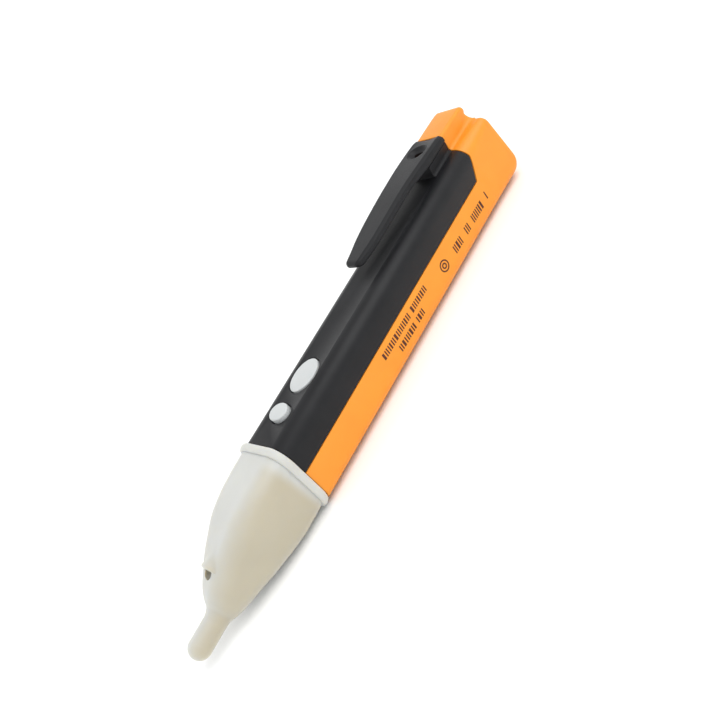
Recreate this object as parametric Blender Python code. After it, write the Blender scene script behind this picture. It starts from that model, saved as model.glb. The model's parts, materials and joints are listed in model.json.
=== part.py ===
"""Non-contact voltage tester pen, lying on its back.

Frame: +X points from the tail to the sensing finger, +Y is the pen's right side, +Z is the
key and clip side.  The origin is under the middle of the pen, on the plane it lies on.
"""
import math

import bmesh
import bpy

MM = 0.001

# ---------------------------------------------------------------- driving dimensions
LENGTH = 155.0 * MM
BODY_HALF_WIDTH = 9.5 * MM
BODY_HEIGHT = 19.2 * MM
BODY_TOP_RADIUS = 4.6 * MM
BODY_BOTTOM_RADIUS = 2.9 * MM
WALL = 1.4 * MM
BACK_WALL_THINNING = 0.1 * MM
SEAM_HEIGHT = 10.4 * MM
COLLAR_X = 29.9 * MM
COLLAR_THICKNESS = 2.2 * MM
COLLAR_OVERHANG = 1.1 * MM
COLLAR_RADIUS = 5.6 * MM
# the collar leans towards the tail at the top: shift along the pen for each metre of height
COLLAR_LEAN = 0.09
COVER_TAIL_X = -65.3 * MM
COVER_CHAMFER_LENGTH = 3.8 * MM
COVER_CHAMFER_HEIGHT = 6.0 * MM
TAIL_WALL = 1.9 * MM
TAIL_ROUNDING = 0.7 * MM
TAIL_SHOULDER_RADIUS = 2.4 * MM
TAIL_FLARE = 0.3 * MM

SPINE_HALF_WIDTH = 5.0 * MM
SPINE_WAIST = 4.3 * MM
SPINE_HEIGHT = 5.5 * MM
SPINE_FILLET = 1.0 * MM
SPINE_ROUNDING = 0.9 * MM
SPINE_SLOPE = 0.3 * MM
TONGUE_HALF_WIDTH = 2.1 * MM
TONGUE_LENGTH = 8.0 * MM

CLIP_LENGTH = 43.3 * MM
CLIP_HALF_WIDTH = 5.5 * MM
CLIP_GAP = 3.8 * MM
CLIP_THICKNESS = 1.9 * MM
CLIP_EDGE = 0.5 * MM
# share of the clip's length, share of its width, lift of its underside, lift of its top
CLIP_PROFILE = (
    (0.0, 1.0, 0.0, 0.0),
    (0.2, 1.0, 0.0, 0.6 * MM),
    (0.42, 0.9, 0.7 * MM, 0.9 * MM),
    (0.66, 0.85, 0.4 * MM, 0.5 * MM),
    (0.8, 0.76, 0.1 * MM, 0.1 * MM),
    (0.91, 0.56, -0.2 * MM, -0.2 * MM),
    (1.0, 0.36, -0.2 * MM, -0.6 * MM),
)
CLIP_SEAT_LENGTH = 9.3 * MM
CLIP_SLOT_FROM_ROOT = 5.2 * MM
CLIP_SLOT_HALF_LENGTH = 0.9 * MM
CLIP_SLOT_HALF_WIDTH = 1.6 * MM
CLIP_RECESS_HALF_LENGTH = 2.3 * MM
CLIP_RECESS_HALF_WIDTH = 2.9 * MM
CLIP_RECESS_DEPTH = 0.8 * MM

POWER_KEY_X = 8.4 * MM
POWER_KEY_HALF_LENGTH = 5.0 * MM
POWER_KEY_HALF_WIDTH = 4.2 * MM
TORCH_KEY_X = 19.7 * MM
TORCH_KEY_HALF_LENGTH = 2.6 * MM
TORCH_KEY_HALF_WIDTH = 3.3 * MM
POWER_KEY_PROUD = 0.4 * MM
TORCH_KEY_PROUD = 1.1 * MM
KEY_DOME = 0.15 * MM
KEY_DOME_EDGE = 0.9 * MM
KEY_FLANGE = 0.5 * MM
KEY_FLANGE_THICKNESS = 0.6 * MM
KEY_TRAVEL = 0.4 * MM

NOSE_WALL = 1.2 * MM
NOSE_BASE_ROUNDNESS = 0.52
# share of the taper's length, size against the body's section, drop of the centre, roundness
NOSE_TAPER = (
    (0.0, 1.02, 0.1 * MM, NOSE_BASE_ROUNDNESS),
    (0.22, 1.02, 0.3 * MM, 0.53),
    (0.46, 0.95, 0.5 * MM, 0.57),
    (0.62, 0.85, 1.0 * MM, 0.62),
    (0.77, 0.7, 2.0 * MM, 0.72),
    (0.91, 0.54, 3.0 * MM, 0.85),
)
FINGER_RADIUS = 2.9 * MM
FINGER_LENGTH = 11.5 * MM
FINGER_HEIGHT = 6.15 * MM
FINGER_BORE_RADIUS = 1.5 * MM
FINGER_ROOT_FLARE = 0.1 * MM
FINGER_ROUNDNESS = 0.98
FINGER_TIP_WALL = 4.0 * MM
NOZZLE_HEIGHT = 14.0 * MM
NOZZLE_RADIUS = 2.4 * MM
NOZZLE_BORE_RADIUS = 1.7 * MM
NOZZLE_END_X = 59.4 * MM
NOZZLE_MOUTH_LENGTH = 2.0 * MM

CELL_LENGTH = 44.5 * MM
CELL_RADIUS = 5.25 * MM
CELL_NUB_LENGTH = 0.8 * MM
CELL_NUB_RADIUS = 1.9 * MM
CELL_EDGE = 0.4 * MM
CRADLE_WALL = 0.75 * MM
CRADLE_END_WALL = 1.3 * MM
CRADLE_RAIL_HEIGHT = 5.9 * MM
SPRING_LENGTH = 2.8 * MM
SPRING_WIRE_RADIUS = 0.3 * MM
SPRING_TURNS = 3
SPRING_STEPS_PER_TURN = 14
SPRING_WIRE_SIDES = 6
# coil radius as a share of the cell's radius, at the plate and at the cell
SPRING_PLATE_SHARE = 0.72
SPRING_CELL_SHARE = 0.47
CONTACT_THICKNESS = 0.4 * MM
SPRING_PLATE_HALF = 4.45 * MM
FRONT_CONTACT_HALF = 3.56 * MM

BOARD_THICKNESS = 1.0 * MM
BOARD_HALF_WIDTH = 5.8 * MM
BOARD_TAIL_X = -3.0 * MM
BOARD_FRONT_X = 46.0 * MM
SWITCH_HALF_SIDE = 2.2 * MM
SWITCH_HEIGHT = 1.2 * MM
PLUNGER_RADIUS = 1.0 * MM
SCREW_SHANK_RADIUS = 0.7 * MM
SCREW_HEAD_RADIUS = 1.4 * MM
SCREW_HEAD_HEIGHT = 0.7 * MM
BOSS_RADIUS = 1.7 * MM
REAR_SCREW = (-0.7 * MM, 4.5 * MM)
FRONT_SCREW = (24.8 * MM, 0.0)
CHIP_X = 33.9 * MM
CHIP_HALF_LENGTH = 2.5 * MM
CHIP_HALF_WIDTH = 2.0 * MM
CHIP_HEIGHT = 1.3 * MM
CAPACITOR_PLACE = (28.2 * MM, -3.6 * MM)
CAPACITOR_RADIUS = 1.8 * MM
CAPACITOR_HEIGHT = 5.0 * MM
BUZZER_X = 37.5 * MM
BUZZER_RADIUS = 6.0 * MM
BUZZER_HEIGHT = 4.8 * MM
LAMP_RADIUS = 1.5 * MM
LAMP_LENGTH = 5.2 * MM
LAMP_DOME_LENGTH = 0.9 * MM
LAMP_DOME_SHARE = 0.6
LAMP_REACH = 7.0 * MM
SIGNAL_LAMP_Y = 3.6 * MM
LAMP_LEAD_LENGTH = 3.2 * MM
LAMP_LEAD_HALF = 0.2 * MM
ROD_RADIUS = 0.9 * MM
ROD_LENGTH = 5.2 * MM
ROD_END_FROM_TIP = 4.64 * MM
SENSOR_LEAD_RADIUS = 1.0 * MM
SENSOR_LEAD_Y = -3.0 * MM
SENSOR_LEAD_FROM_BOARD_END = 2.0 * MM

GAP = 0.3 * MM
# keeps two faces that would lie in one plane apart
FACE_LIFT = 0.05 * MM
OVERCUT = 5.0 * MM
ARC_STEPS = 5
ROUND_STEPS = 24
SMALL_ROUND_STEPS = 16

# ---------------------------------------------------------------- derived places
TAIL_X = -LENGTH / 2
TIP_X = LENGTH / 2
BACK_Z = COLLAR_OVERHANG
TOP_Z = BACK_Z + BODY_HEIGHT
MID_Z = BACK_Z + BODY_HEIGHT / 2
SEAM_Z = BACK_Z + SEAM_HEIGHT
CAVITY_HALF = BODY_HALF_WIDTH - WALL
CAVITY_FLOOR = BACK_Z + WALL - BACK_WALL_THINNING
CAVITY_ROOF = TOP_Z - WALL
CAVITY_TAIL_X = TAIL_X + TAIL_WALL
COLLAR_FRONT_X = COLLAR_X + COLLAR_THICKNESS
SHELL_FRONT_X = COLLAR_X - GAP
CLIP_ROOT_X = COVER_TAIL_X
CLIP_UNDER_Z = TOP_Z + CLIP_GAP
CLIP_SEAT_TOP_Z = CLIP_UNDER_Z - GAP
CLIP_SLOT_X = CLIP_ROOT_X + CLIP_SLOT_FROM_ROOT
TONGUE_BOTTOM_Z = TOP_Z + GAP
TONGUE_END_X = CLIP_ROOT_X + TONGUE_LENGTH
CRADLE_FLOOR_Z = CAVITY_FLOOR + GAP
CRADLE_HALF = CELL_RADIUS + GAP + CRADLE_WALL
CELL_Z = CRADLE_FLOOR_Z + CRADLE_WALL + GAP + CELL_RADIUS
CRADLE_TAIL_X = CAVITY_TAIL_X + 2 * GAP
PLATE_X = CRADLE_TAIL_X + CRADLE_END_WALL + GAP
SPRING_X = PLATE_X + CONTACT_THICKNESS + GAP
REAR_CELL_X = SPRING_X + SPRING_LENGTH + GAP
FRONT_CELL_X = REAR_CELL_X + CELL_LENGTH + GAP
FRONT_CONTACT_X = FRONT_CELL_X + CELL_LENGTH + GAP
CRADLE_WELL_END_X = FRONT_CONTACT_X + CONTACT_THICKNESS + GAP
CRADLE_FRONT_X = CRADLE_WELL_END_X + CRADLE_END_WALL
BOARD_BOTTOM_Z = CELL_Z + CELL_RADIUS + GAP
BOARD_TOP_Z = BOARD_BOTTOM_Z + BOARD_THICKNESS
UNDER_BOARD_Z = BOARD_BOTTOM_Z - GAP
SWITCH_Z = BOARD_TOP_Z + GAP
KEY_FLANGE_TOP_Z = CAVITY_ROOF - GAP
KEY_FLANGE_BOTTOM_Z = KEY_FLANGE_TOP_Z - KEY_FLANGE_THICKNESS
PLUNGER_TOP_Z = KEY_FLANGE_BOTTOM_Z - GAP
PLUNGER_BOTTOM_Z = BOARD_TOP_Z + KEY_TRAVEL + GAP
SKIRT_X = FRONT_SCREW[0] + BOSS_RADIUS + GAP
SKIRT_HALF = CAVITY_HALF - GAP
FINGER_ROOT_X = TIP_X - FINGER_LENGTH
FINGER_BORE_END_X = TIP_X - FINGER_TIP_WALL
LAMP_TIP_X = BOARD_FRONT_X + LAMP_REACH

# ---------------------------------------------------------------- materials


def material(name, colour, roughness, metallic=0.0):
    made = bpy.data.materials.new(name)
    made.use_nodes = True
    shader = made.node_tree.nodes["Principled BSDF"]
    shader.inputs["Base Color"].default_value = (*colour, 1.0)
    shader.inputs["Roughness"].default_value = roughness
    shader.inputs["Metallic"].default_value = metallic
    made.diffuse_color = (*colour, 1.0)
    return made


def make_materials():
    return {
        "orange": material("orange_plastic", (0.95, 0.36, 0.06), 0.4),
        "black": material("black_plastic", (0.03, 0.03, 0.033), 0.45),
        "milky": material("milky_plastic", (0.72, 0.72, 0.66), 0.35),
        "key": material("key_plastic", (0.62, 0.64, 0.64), 0.4),
        "grey": material("grey_plastic", (0.2, 0.2, 0.21), 0.5),
        "steel": material("plated_steel", (0.65, 0.65, 0.66), 0.3, 1.0),
        "brass": material("brass", (0.72, 0.53, 0.25), 0.3, 1.0),
        "board": material("board_green", (0.03, 0.22, 0.09), 0.45),
        "chip": material("chip_black", (0.02, 0.02, 0.02), 0.4),
        "jacket": material("cell_jacket", (0.07, 0.1, 0.3), 0.35),
        "clear": material("lamp_clear", (0.85, 0.87, 0.88), 0.15),
        "red": material("lamp_red", (0.7, 0.03, 0.02), 0.2),
        "green": material("lead_green", (0.08, 0.35, 0.12), 0.45),
    }


# ---------------------------------------------------------------- shape helpers


def clear_scene():
    for old in list(bpy.data.objects):
        bpy.data.objects.remove(old, do_unlink=True)


def add_object(name, mesh, surface):
    """Wrap a finished bmesh as a named object with one material."""
    bmesh.ops.recalc_face_normals(mesh, faces=mesh.faces)
    polygons = [face for face in mesh.faces if len(face.verts) > 4]
    bmesh.ops.triangulate(mesh, faces=polygons, ngon_method="EAR_CLIP")
    data = bpy.data.meshes.new(name)
    mesh.to_mesh(data)
    mesh.free()
    data.materials.append(surface)
    data.shade_smooth()
    data.set_sharp_from_angle(angle=math.radians(32))
    made = bpy.data.objects.new(name, data)
    bpy.context.scene.collection.objects.link(made)
    return made


def skin(name, rings, surface):
    """Close a skin over rings of points; every ring has the same number of points."""
    mesh = bmesh.new()
    loops = [[mesh.verts.new(point) for point in ring] for ring in rings]
    count = len(loops[0])
    for near, far in zip(loops, loops[1:]):
        for i in range(count):
            j = (i + 1) % count
            mesh.faces.new((near[i], near[j], far[j], far[i]))
    mesh.faces.new(loops[0])
    mesh.faces.new(list(reversed(loops[-1])))
    return add_object(name, mesh, surface)


def across_x(x, outline):
    return [(x, y, z) for y, z in outline]


def across_y(y, outline):
    return [(x, y, z) for x, z in outline]


def across_z(z, outline):
    return [(x, y, z) for x, y in outline]


def leaning(x, outline):
    """A section across X that leans as the collar does, about the seam's height."""
    return [(x - COLLAR_LEAN * (z - SEAM_Z), y, z) for y, z in outline]


def arc(centre, radius, start, end, steps=ARC_STEPS):
    """Points of an arc; the angles are in degrees and both ends are included."""
    angles = [math.radians(start + (end - start) * i / steps) for i in range(steps + 1)]
    return [(centre[0] + radius * math.cos(a), centre[1] + radius * math.sin(a)) for a in angles]


def rounded_box_outline(half_width, bottom, top, bottom_radius, top_radius):
    """Outline of a round-cornered section, in (y, z), starting at the lower right corner."""
    low = bottom + bottom_radius
    high = top - top_radius
    outline = arc((half_width - bottom_radius, low), bottom_radius, -90, 0)
    outline += arc((half_width - top_radius, high), top_radius, 0, 90)
    outline += arc((top_radius - half_width, high), top_radius, 90, 180)
    outline += arc((bottom_radius - half_width, low), bottom_radius, 180, 270)
    return outline


def body_outline(inset, top_radius, flare):
    return rounded_box_outline(
        BODY_HALF_WIDTH + flare - inset, BACK_Z + inset, TOP_Z - inset,
        BODY_BOTTOM_RADIUS - inset, top_radius - inset)


def ellipse(x, y, half_length, half_width, steps=ROUND_STEPS):
    angles = [2 * math.pi * i / steps for i in range(steps)]
    return [(x + half_length * math.cos(a), y + half_width * math.sin(a)) for a in angles]


def box(name, low, high, surface):
    outline = [(low[0], low[1]), (high[0], low[1]), (high[0], high[1]), (low[0], high[1])]
    return skin(name, [across_z(low[2], outline), across_z(high[2], outline)], surface)


def upright_cylinder(name, x, y, radius, bottom, top, surface, steps=ROUND_STEPS):
    outline = ellipse(x, y, radius, radius, steps)
    return skin(name, [across_z(bottom, outline), across_z(top, outline)], surface)


def lying_cylinder(name, y, z, profile, surface, steps=ROUND_STEPS):
    """A round piece along X; the profile lists (x, radius)."""
    rings = [across_x(x, ellipse(y, z, radius, radius, steps)) for x, radius in profile]
    return skin(name, rings, surface)


def apply_tool(target, tool, operation):
    """Cut with the tool, or join it on, and keep the tool out of the model."""
    tool.hide_render = True
    tool.display_type = "WIRE"
    change = target.modifiers.new(tool.name, "BOOLEAN")
    change.operation = operation
    change.solver = "EXACT"
    change.object = tool


def cut(target, *tools):
    for tool in tools:
        apply_tool(target, tool, "DIFFERENCE")


def join(target, *tools):
    for tool in tools:
        apply_tool(target, tool, "UNION")


def hang_on_joint(name, position, pieces):
    """Parent moving pieces to an empty on their joint's axis, without moving them."""
    joint = bpy.data.objects.new(name, None)
    joint.location = position
    bpy.context.scene.collection.objects.link(joint)
    for piece in pieces:
        piece.parent = joint
        piece.location = [-value for value in position]


# ---------------------------------------------------------------- rear housing


def cover_side_outline(clearance):
    """The cover's side view in (x, z); clearance grows it into the housing's cut-out."""
    front = SHELL_FRONT_X + OVERCUT
    seam = SEAM_Z + GAP / 2 - clearance
    chamfer_x = COVER_TAIL_X + COVER_CHAMFER_LENGTH - clearance
    tail_x = COVER_TAIL_X - clearance
    chamfer_z = SEAM_Z + COVER_CHAMFER_HEIGHT - clearance / 2
    high = TOP_Z + SPINE_HEIGHT + OVERCUT
    return [(front, seam), (front, high), (tail_x, high), (tail_x, chamfer_z), (chamfer_x, seam)]


def side_prism(name, outline, surface):
    reach = BODY_HALF_WIDTH + OVERCUT
    return skin(name, [across_y(-reach, outline), across_y(reach, outline)], surface)


def shoulder_at(x):
    """Top edge radius and sideways flare of the body; both change between the cover and the tail."""
    share = max(0.0, (COVER_TAIL_X - x) / (COVER_TAIL_X - TAIL_X - TAIL_ROUNDING))
    radius = BODY_TOP_RADIUS + (TAIL_SHOULDER_RADIUS - BODY_TOP_RADIUS) * share
    return radius, TAIL_FLARE * share


def spine_outline(x, top, half_width=SPINE_HALF_WIDTH, rounding=SPINE_ROUNDING):
    """Section of the raised spine at x: wider at the top than at its filleted foot."""
    shoulder_radius, flare = shoulder_at(x)
    shoulder_y = BODY_HALF_WIDTH + flare - shoulder_radius
    fillet_y = half_width - SPINE_HALF_WIDTH + SPINE_WAIST + SPINE_FILLET
    reach = shoulder_radius + SPINE_FILLET
    over = max(0.0, fillet_y - shoulder_y)
    fillet_z = TOP_Z - shoulder_radius + math.sqrt(reach ** 2 - over ** 2) + FACE_LIFT
    toe_angle = 270 - math.degrees(math.asin(over / reach))
    fillet = arc((fillet_y, fillet_z), SPINE_FILLET, toe_angle, 180)
    toe_y, toe_z = fillet[0]
    right = [(toe_y, toe_z - WALL / 2)] + fillet
    right += arc((half_width - rounding, top - rounding), rounding, 0, 90)
    left = [(-y, z) for y, z in reversed(right)]
    return right + left


def make_spine(surface):
    crest = TOP_Z + SPINE_HEIGHT
    tail_crest = crest - SPINE_SLOPE
    # place along the pen, top, how far the sides are drawn in
    stations = [
        (TAIL_X + FACE_LIFT, tail_crest - 2 * TAIL_ROUNDING, TAIL_ROUNDING),
        (TAIL_X + TAIL_ROUNDING, tail_crest - TAIL_ROUNDING / 2, 0.0),
        (TAIL_X + 4 * TAIL_ROUNDING, tail_crest, 0.0),
        (COVER_TAIL_X - GAP, crest, 0.0),
    ]
    rings = [across_x(x, spine_outline(x, top, SPINE_HALF_WIDTH - inset)) for x, top, inset in stations]
    return skin("spine_tool", rings, surface)


def housing_rings():
    """Outer sections of the housing: the rounded tail end, then the plain body."""
    ring_places = [
        (TAIL_X, TAIL_ROUNDING),
        (TAIL_X + TAIL_ROUNDING / 3, TAIL_ROUNDING / 3),
        (TAIL_X + TAIL_ROUNDING, 0.0),
        (COVER_TAIL_X, 0.0),
    ]
    rings = []
    for x, inset in ring_places:
        radius, flare = shoulder_at(max(x, TAIL_X + TAIL_ROUNDING))
        rings.append(across_x(x, body_outline(inset, radius, flare)))
    rings.append(leaning(SHELL_FRONT_X, body_outline(0.0, BODY_TOP_RADIUS, 0.0)))
    return rings


def make_rear_housing(surfaces):
    orange = surfaces["orange"]
    housing = skin("rear_housing", housing_rings(), orange)
    cavity_outline = rounded_box_outline(
        CAVITY_HALF, CAVITY_FLOOR, CAVITY_ROOF, BODY_BOTTOM_RADIUS - WALL, BODY_TOP_RADIUS - WALL)
    cavity_rings = [across_x(x, cavity_outline) for x in (CAVITY_TAIL_X, SHELL_FRONT_X + OVERCUT)]
    cut(housing, skin("housing_cavity_cutter", cavity_rings, orange))
    cut(housing, side_prism("cover_space_cutter", cover_side_outline(GAP), orange))
    join(housing, make_spine(orange))
    tongue = box(
        "tongue_tool",
        (COVER_TAIL_X - 3 * GAP, -TONGUE_HALF_WIDTH, TONGUE_BOTTOM_Z),
        (TONGUE_END_X, TONGUE_HALF_WIDTH, CLIP_SEAT_TOP_Z),
        orange)
    join(housing, tongue)
    hang_on_joint("housing_slide", (TAIL_X, 0.0, MID_Z), [housing])


# ---------------------------------------------------------------- front cover


def cover_section():
    """Inverted U with inner lips that line it up with the housing's walls."""
    low = SEAM_Z + GAP / 2
    lip_outer = CAVITY_HALF - GAP
    lip_inner = lip_outer - WALL * 2 / 3
    lip_bottom = SEAM_Z - 2 * WALL
    shelf = low + WALL * 2 / 3
    outer_arc_centre = (BODY_HALF_WIDTH - BODY_TOP_RADIUS, TOP_Z - BODY_TOP_RADIUS)
    inner_radius = BODY_TOP_RADIUS - WALL
    right = [(CAVITY_HALF, shelf), (lip_inner, shelf), (lip_inner, lip_bottom), (lip_outer, lip_bottom)]
    right += [(lip_outer, low), (BODY_HALF_WIDTH, low)]
    right += arc(outer_arc_centre, BODY_TOP_RADIUS, 0, 90)
    inner = arc(outer_arc_centre, inner_radius, 90, 0)
    mirrored = [(-y, z) for y, z in reversed(right)]
    mirrored_inner = [(-y, z) for y, z in reversed(inner)]
    return right + mirrored + mirrored_inner + inner


def key_hole_cutter(name, x, half_length, half_width, surface):
    outline = ellipse(x, 0.0, half_length + GAP, half_width + GAP)
    rings = [across_z(CAVITY_ROOF - GAP, outline), across_z(TOP_Z + OVERCUT, outline)]
    return skin(name, rings, surface)


def screw_boss(name, place, surface):
    x, y = place
    return upright_cylinder(name, x, y, BOSS_RADIUS, SWITCH_Z, CAVITY_ROOF + WALL / 2, surface)


def screw_bore(name, place, surface):
    x, y = place
    top = CAVITY_ROOF - GAP
    radius = SCREW_SHANK_RADIUS + GAP
    return upright_cylinder(name, x, y, radius, BOARD_TOP_Z - GAP, top, surface, SMALL_ROUND_STEPS)


def cover_limit_outline():
    """The cover's own side view, carried down past the seam so that it keeps the inner lips."""
    outline = cover_side_outline(0.0)
    lip_limit = SEAM_Z - 3 * WALL
    return [(outline[0][0], lip_limit)] + outline[1:] + [(outline[-1][0], lip_limit)]


def make_clip_seat(surface):
    """The block that the clip sits on; it carries on the line of the housing's spine."""
    outline = spine_outline(CLIP_ROOT_X, CLIP_SEAT_TOP_Z, rounding=CLIP_EDGE)
    rings = [across_x(x, outline) for x in (CLIP_ROOT_X, CLIP_ROOT_X + CLIP_SEAT_LENGTH)]
    return skin("clip_seat_tool", rings, surface)


def make_front_cover(surfaces):
    black = surfaces["black"]
    section = cover_section()
    rings = [across_x(COVER_TAIL_X - OVERCUT, section), leaning(SHELL_FRONT_X, section)]
    cover = skin("front_cover", rings, black)
    keep = side_prism("cover_side_limit", cover_limit_outline(), black)
    apply_tool(cover, keep, "INTERSECT")
    lip_relief = box(
        "lip_relief_cutter",
        (SKIRT_X - GAP, -CAVITY_HALF, SEAM_Z - 3 * WALL),
        (SHELL_FRONT_X + OVERCUT, CAVITY_HALF, TOP_Z - BODY_TOP_RADIUS),
        black)
    cut(cover, lip_relief)
    join(cover, make_clip_seat(black))
    cut(cover, box(
        "tongue_channel_cutter",
        (CLIP_ROOT_X - OVERCUT, -TONGUE_HALF_WIDTH - GAP, TOP_Z),
        (TONGUE_END_X + GAP, TONGUE_HALF_WIDTH + GAP, CLIP_SEAT_TOP_Z + OVERCUT),
        black))
    join(cover, screw_boss("rear_boss", REAR_SCREW, black), screw_boss("front_boss", FRONT_SCREW, black))
    cut(cover, screw_bore("rear_boss_bore", REAR_SCREW, black))
    cut(cover, screw_bore("front_boss_bore", FRONT_SCREW, black))
    cut(cover, key_hole_cutter(
        "power_key_hole", POWER_KEY_X, POWER_KEY_HALF_LENGTH, POWER_KEY_HALF_WIDTH, black))
    cut(cover, key_hole_cutter(
        "torch_key_hole", TORCH_KEY_X, TORCH_KEY_HALF_LENGTH, TORCH_KEY_HALF_WIDTH, black))


# ---------------------------------------------------------------- pocket clip


def clip_blade_rings():
    """Blade sections from its root to its free end."""
    rings = []
    for share, width, under_lift, top_lift in CLIP_PROFILE:
        under = CLIP_UNDER_Z + under_lift
        top = CLIP_UNDER_Z + CLIP_THICKNESS + top_lift
        outline = rounded_box_outline(CLIP_HALF_WIDTH * width, under, top, CLIP_EDGE, CLIP_EDGE)
        rings.append(across_x(CLIP_ROOT_X + share * CLIP_LENGTH, outline))
    return rings


def make_pocket_clip(surfaces):
    black = surfaces["black"]
    clip = skin("pocket_clip", clip_blade_rings(), black)
    recess_floor = CLIP_UNDER_Z + CLIP_THICKNESS - CLIP_RECESS_DEPTH
    recess = ellipse(CLIP_SLOT_X, 0.0, CLIP_RECESS_HALF_LENGTH, CLIP_RECESS_HALF_WIDTH)
    slot = ellipse(CLIP_SLOT_X, 0.0, CLIP_SLOT_HALF_LENGTH, CLIP_SLOT_HALF_WIDTH)
    above = CLIP_UNDER_Z + CLIP_THICKNESS + OVERCUT
    cut(clip, skin("clip_recess_cutter", [across_z(recess_floor, recess), across_z(above, recess)], black))
    cut(clip, skin("clip_slot_cutter", [across_z(TOP_Z, slot), across_z(above, slot)], black))
    hang_on_joint("clip_hinge", (CLIP_ROOT_X, 0.0, CLIP_UNDER_Z + CLIP_THICKNESS), [clip])


# ---------------------------------------------------------------- keys and switches


def make_key(name, x, half_length, half_width, proud, surfaces):
    """A key cap with the retaining flange that holds it in the cover."""
    flange = ellipse(x, 0.0, half_length + KEY_FLANGE, half_width + KEY_FLANGE)
    wall = ellipse(x, 0.0, half_length, half_width)
    dome = ellipse(x, 0.0, half_length - KEY_DOME_EDGE, half_width - KEY_DOME_EDGE)
    top = TOP_Z + proud
    rings = [
        across_z(KEY_FLANGE_BOTTOM_Z, flange), across_z(KEY_FLANGE_TOP_Z, flange),
        across_z(KEY_FLANGE_TOP_Z, wall), across_z(top - KEY_DOME, wall), across_z(top, dome)]
    return skin(name, rings, surfaces["key"])


def make_switch(name, x, surfaces):
    low = (x - SWITCH_HALF_SIDE, -SWITCH_HALF_SIDE, SWITCH_Z)
    high = (x + SWITCH_HALF_SIDE, SWITCH_HALF_SIDE, SWITCH_Z + SWITCH_HEIGHT)
    body = box(name, low, high, surfaces["chip"])
    cut(body, upright_cylinder(
        name + "_hole", x, 0.0, PLUNGER_RADIUS + GAP,
        SWITCH_Z - OVERCUT, SWITCH_Z + OVERCUT, surfaces["chip"], SMALL_ROUND_STEPS))
    return upright_cylinder(
        name + "_plunger", x, 0.0, PLUNGER_RADIUS,
        PLUNGER_BOTTOM_Z, PLUNGER_TOP_Z, surfaces["steel"], SMALL_ROUND_STEPS)


def make_keys(surfaces):
    power_key = make_key(
        "power_button", POWER_KEY_X, POWER_KEY_HALF_LENGTH, POWER_KEY_HALF_WIDTH,
        POWER_KEY_PROUD, surfaces)
    power_plunger = make_switch("power_switch", POWER_KEY_X, surfaces)
    hang_on_joint("power_key_slide", (POWER_KEY_X, 0.0, TOP_Z), [power_key, power_plunger])
    torch_key = make_key(
        "torch_button", TORCH_KEY_X, TORCH_KEY_HALF_LENGTH, TORCH_KEY_HALF_WIDTH,
        TORCH_KEY_PROUD, surfaces)
    torch_plunger = make_switch("torch_switch", TORCH_KEY_X, surfaces)
    hang_on_joint("torch_key_slide", (TORCH_KEY_X, 0.0, TOP_Z), [torch_key, torch_plunger])


# ---------------------------------------------------------------- nose cone


def nose_outline(half_width, half_height, centre_z, roundness):
    radius = min(half_width, half_height) * roundness
    return rounded_box_outline(half_width, centre_z - half_height, centre_z + half_height, radius, radius)


def taper_outline(size, drop, roundness, inset):
    """Section of the taper; it keeps the proportions of the body's own section."""
    half_width = BODY_HALF_WIDTH * size - inset
    half_height = BODY_HEIGHT / 2 * size - inset
    return nose_outline(half_width, half_height, MID_Z - drop, roundness)


def finger_outline(radius):
    return nose_outline(radius, radius, FINGER_HEIGHT, FINGER_ROUNDNESS)


def taper_rings(inset=0.0):
    """Rings of the taper from its base to the finger's root, drawn in by inset."""
    length = FINGER_ROOT_X - COLLAR_FRONT_X
    rings = []
    for share, size, drop, roundness in NOSE_TAPER:
        outline = taper_outline(size, drop, roundness, inset)
        x = COLLAR_FRONT_X + share * length
        rings.append(across_x(x, outline) if share else leaning(x, outline))
    rings.append(across_x(FINGER_ROOT_X, finger_outline(FINGER_RADIUS + FINGER_ROOT_FLARE - inset)))
    return rings


def skirt_outline(inset=0.0):
    """The nose's plug, which fits inside the housing and the cover."""
    radius = BODY_TOP_RADIUS - WALL - inset / 2
    return rounded_box_outline(
        SKIRT_HALF - inset, CAVITY_FLOOR + GAP + inset, CAVITY_ROOF - GAP - inset, radius, radius)


def collar_outline(inset):
    half = BODY_HALF_WIDTH + COLLAR_OVERHANG - inset
    radius = COLLAR_RADIUS - inset
    return rounded_box_outline(half, inset, TOP_Z + COLLAR_OVERHANG - inset, radius, radius)


def finger_rings():
    """The finger from its root to its round end."""
    centre_x = TIP_X - FINGER_RADIUS
    rings = [across_x(centre_x, finger_outline(FINGER_RADIUS))]
    for step in range(1, ARC_STEPS):
        slope = math.pi / 2 * step / ARC_STEPS
        x = centre_x + FINGER_RADIUS * math.sin(slope)
        rings.append(across_x(x, finger_outline(FINGER_RADIUS * math.cos(slope))))
    rings.append(across_x(TIP_X, finger_outline(FINGER_RADIUS / 10)))
    return rings


def make_nose_solid(surface):
    edge = COLLAR_THICKNESS / 4
    rings = [across_x(SKIRT_X, skirt_outline()), leaning(COLLAR_X, skirt_outline())]
    bead = (
        (COLLAR_X, edge), (COLLAR_X + edge, 0.0),
        (COLLAR_FRONT_X - edge, 0.0), (COLLAR_FRONT_X, edge))
    rings += [leaning(x, collar_outline(inset)) for x, inset in bead]
    rings += taper_rings()
    rings += finger_rings()
    return skin("nose_cone", rings, surface)


def nozzle_cylinder(name, profile, surface):
    return lying_cylinder(name, 0.0, NOZZLE_HEIGHT, profile, surface)


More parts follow.
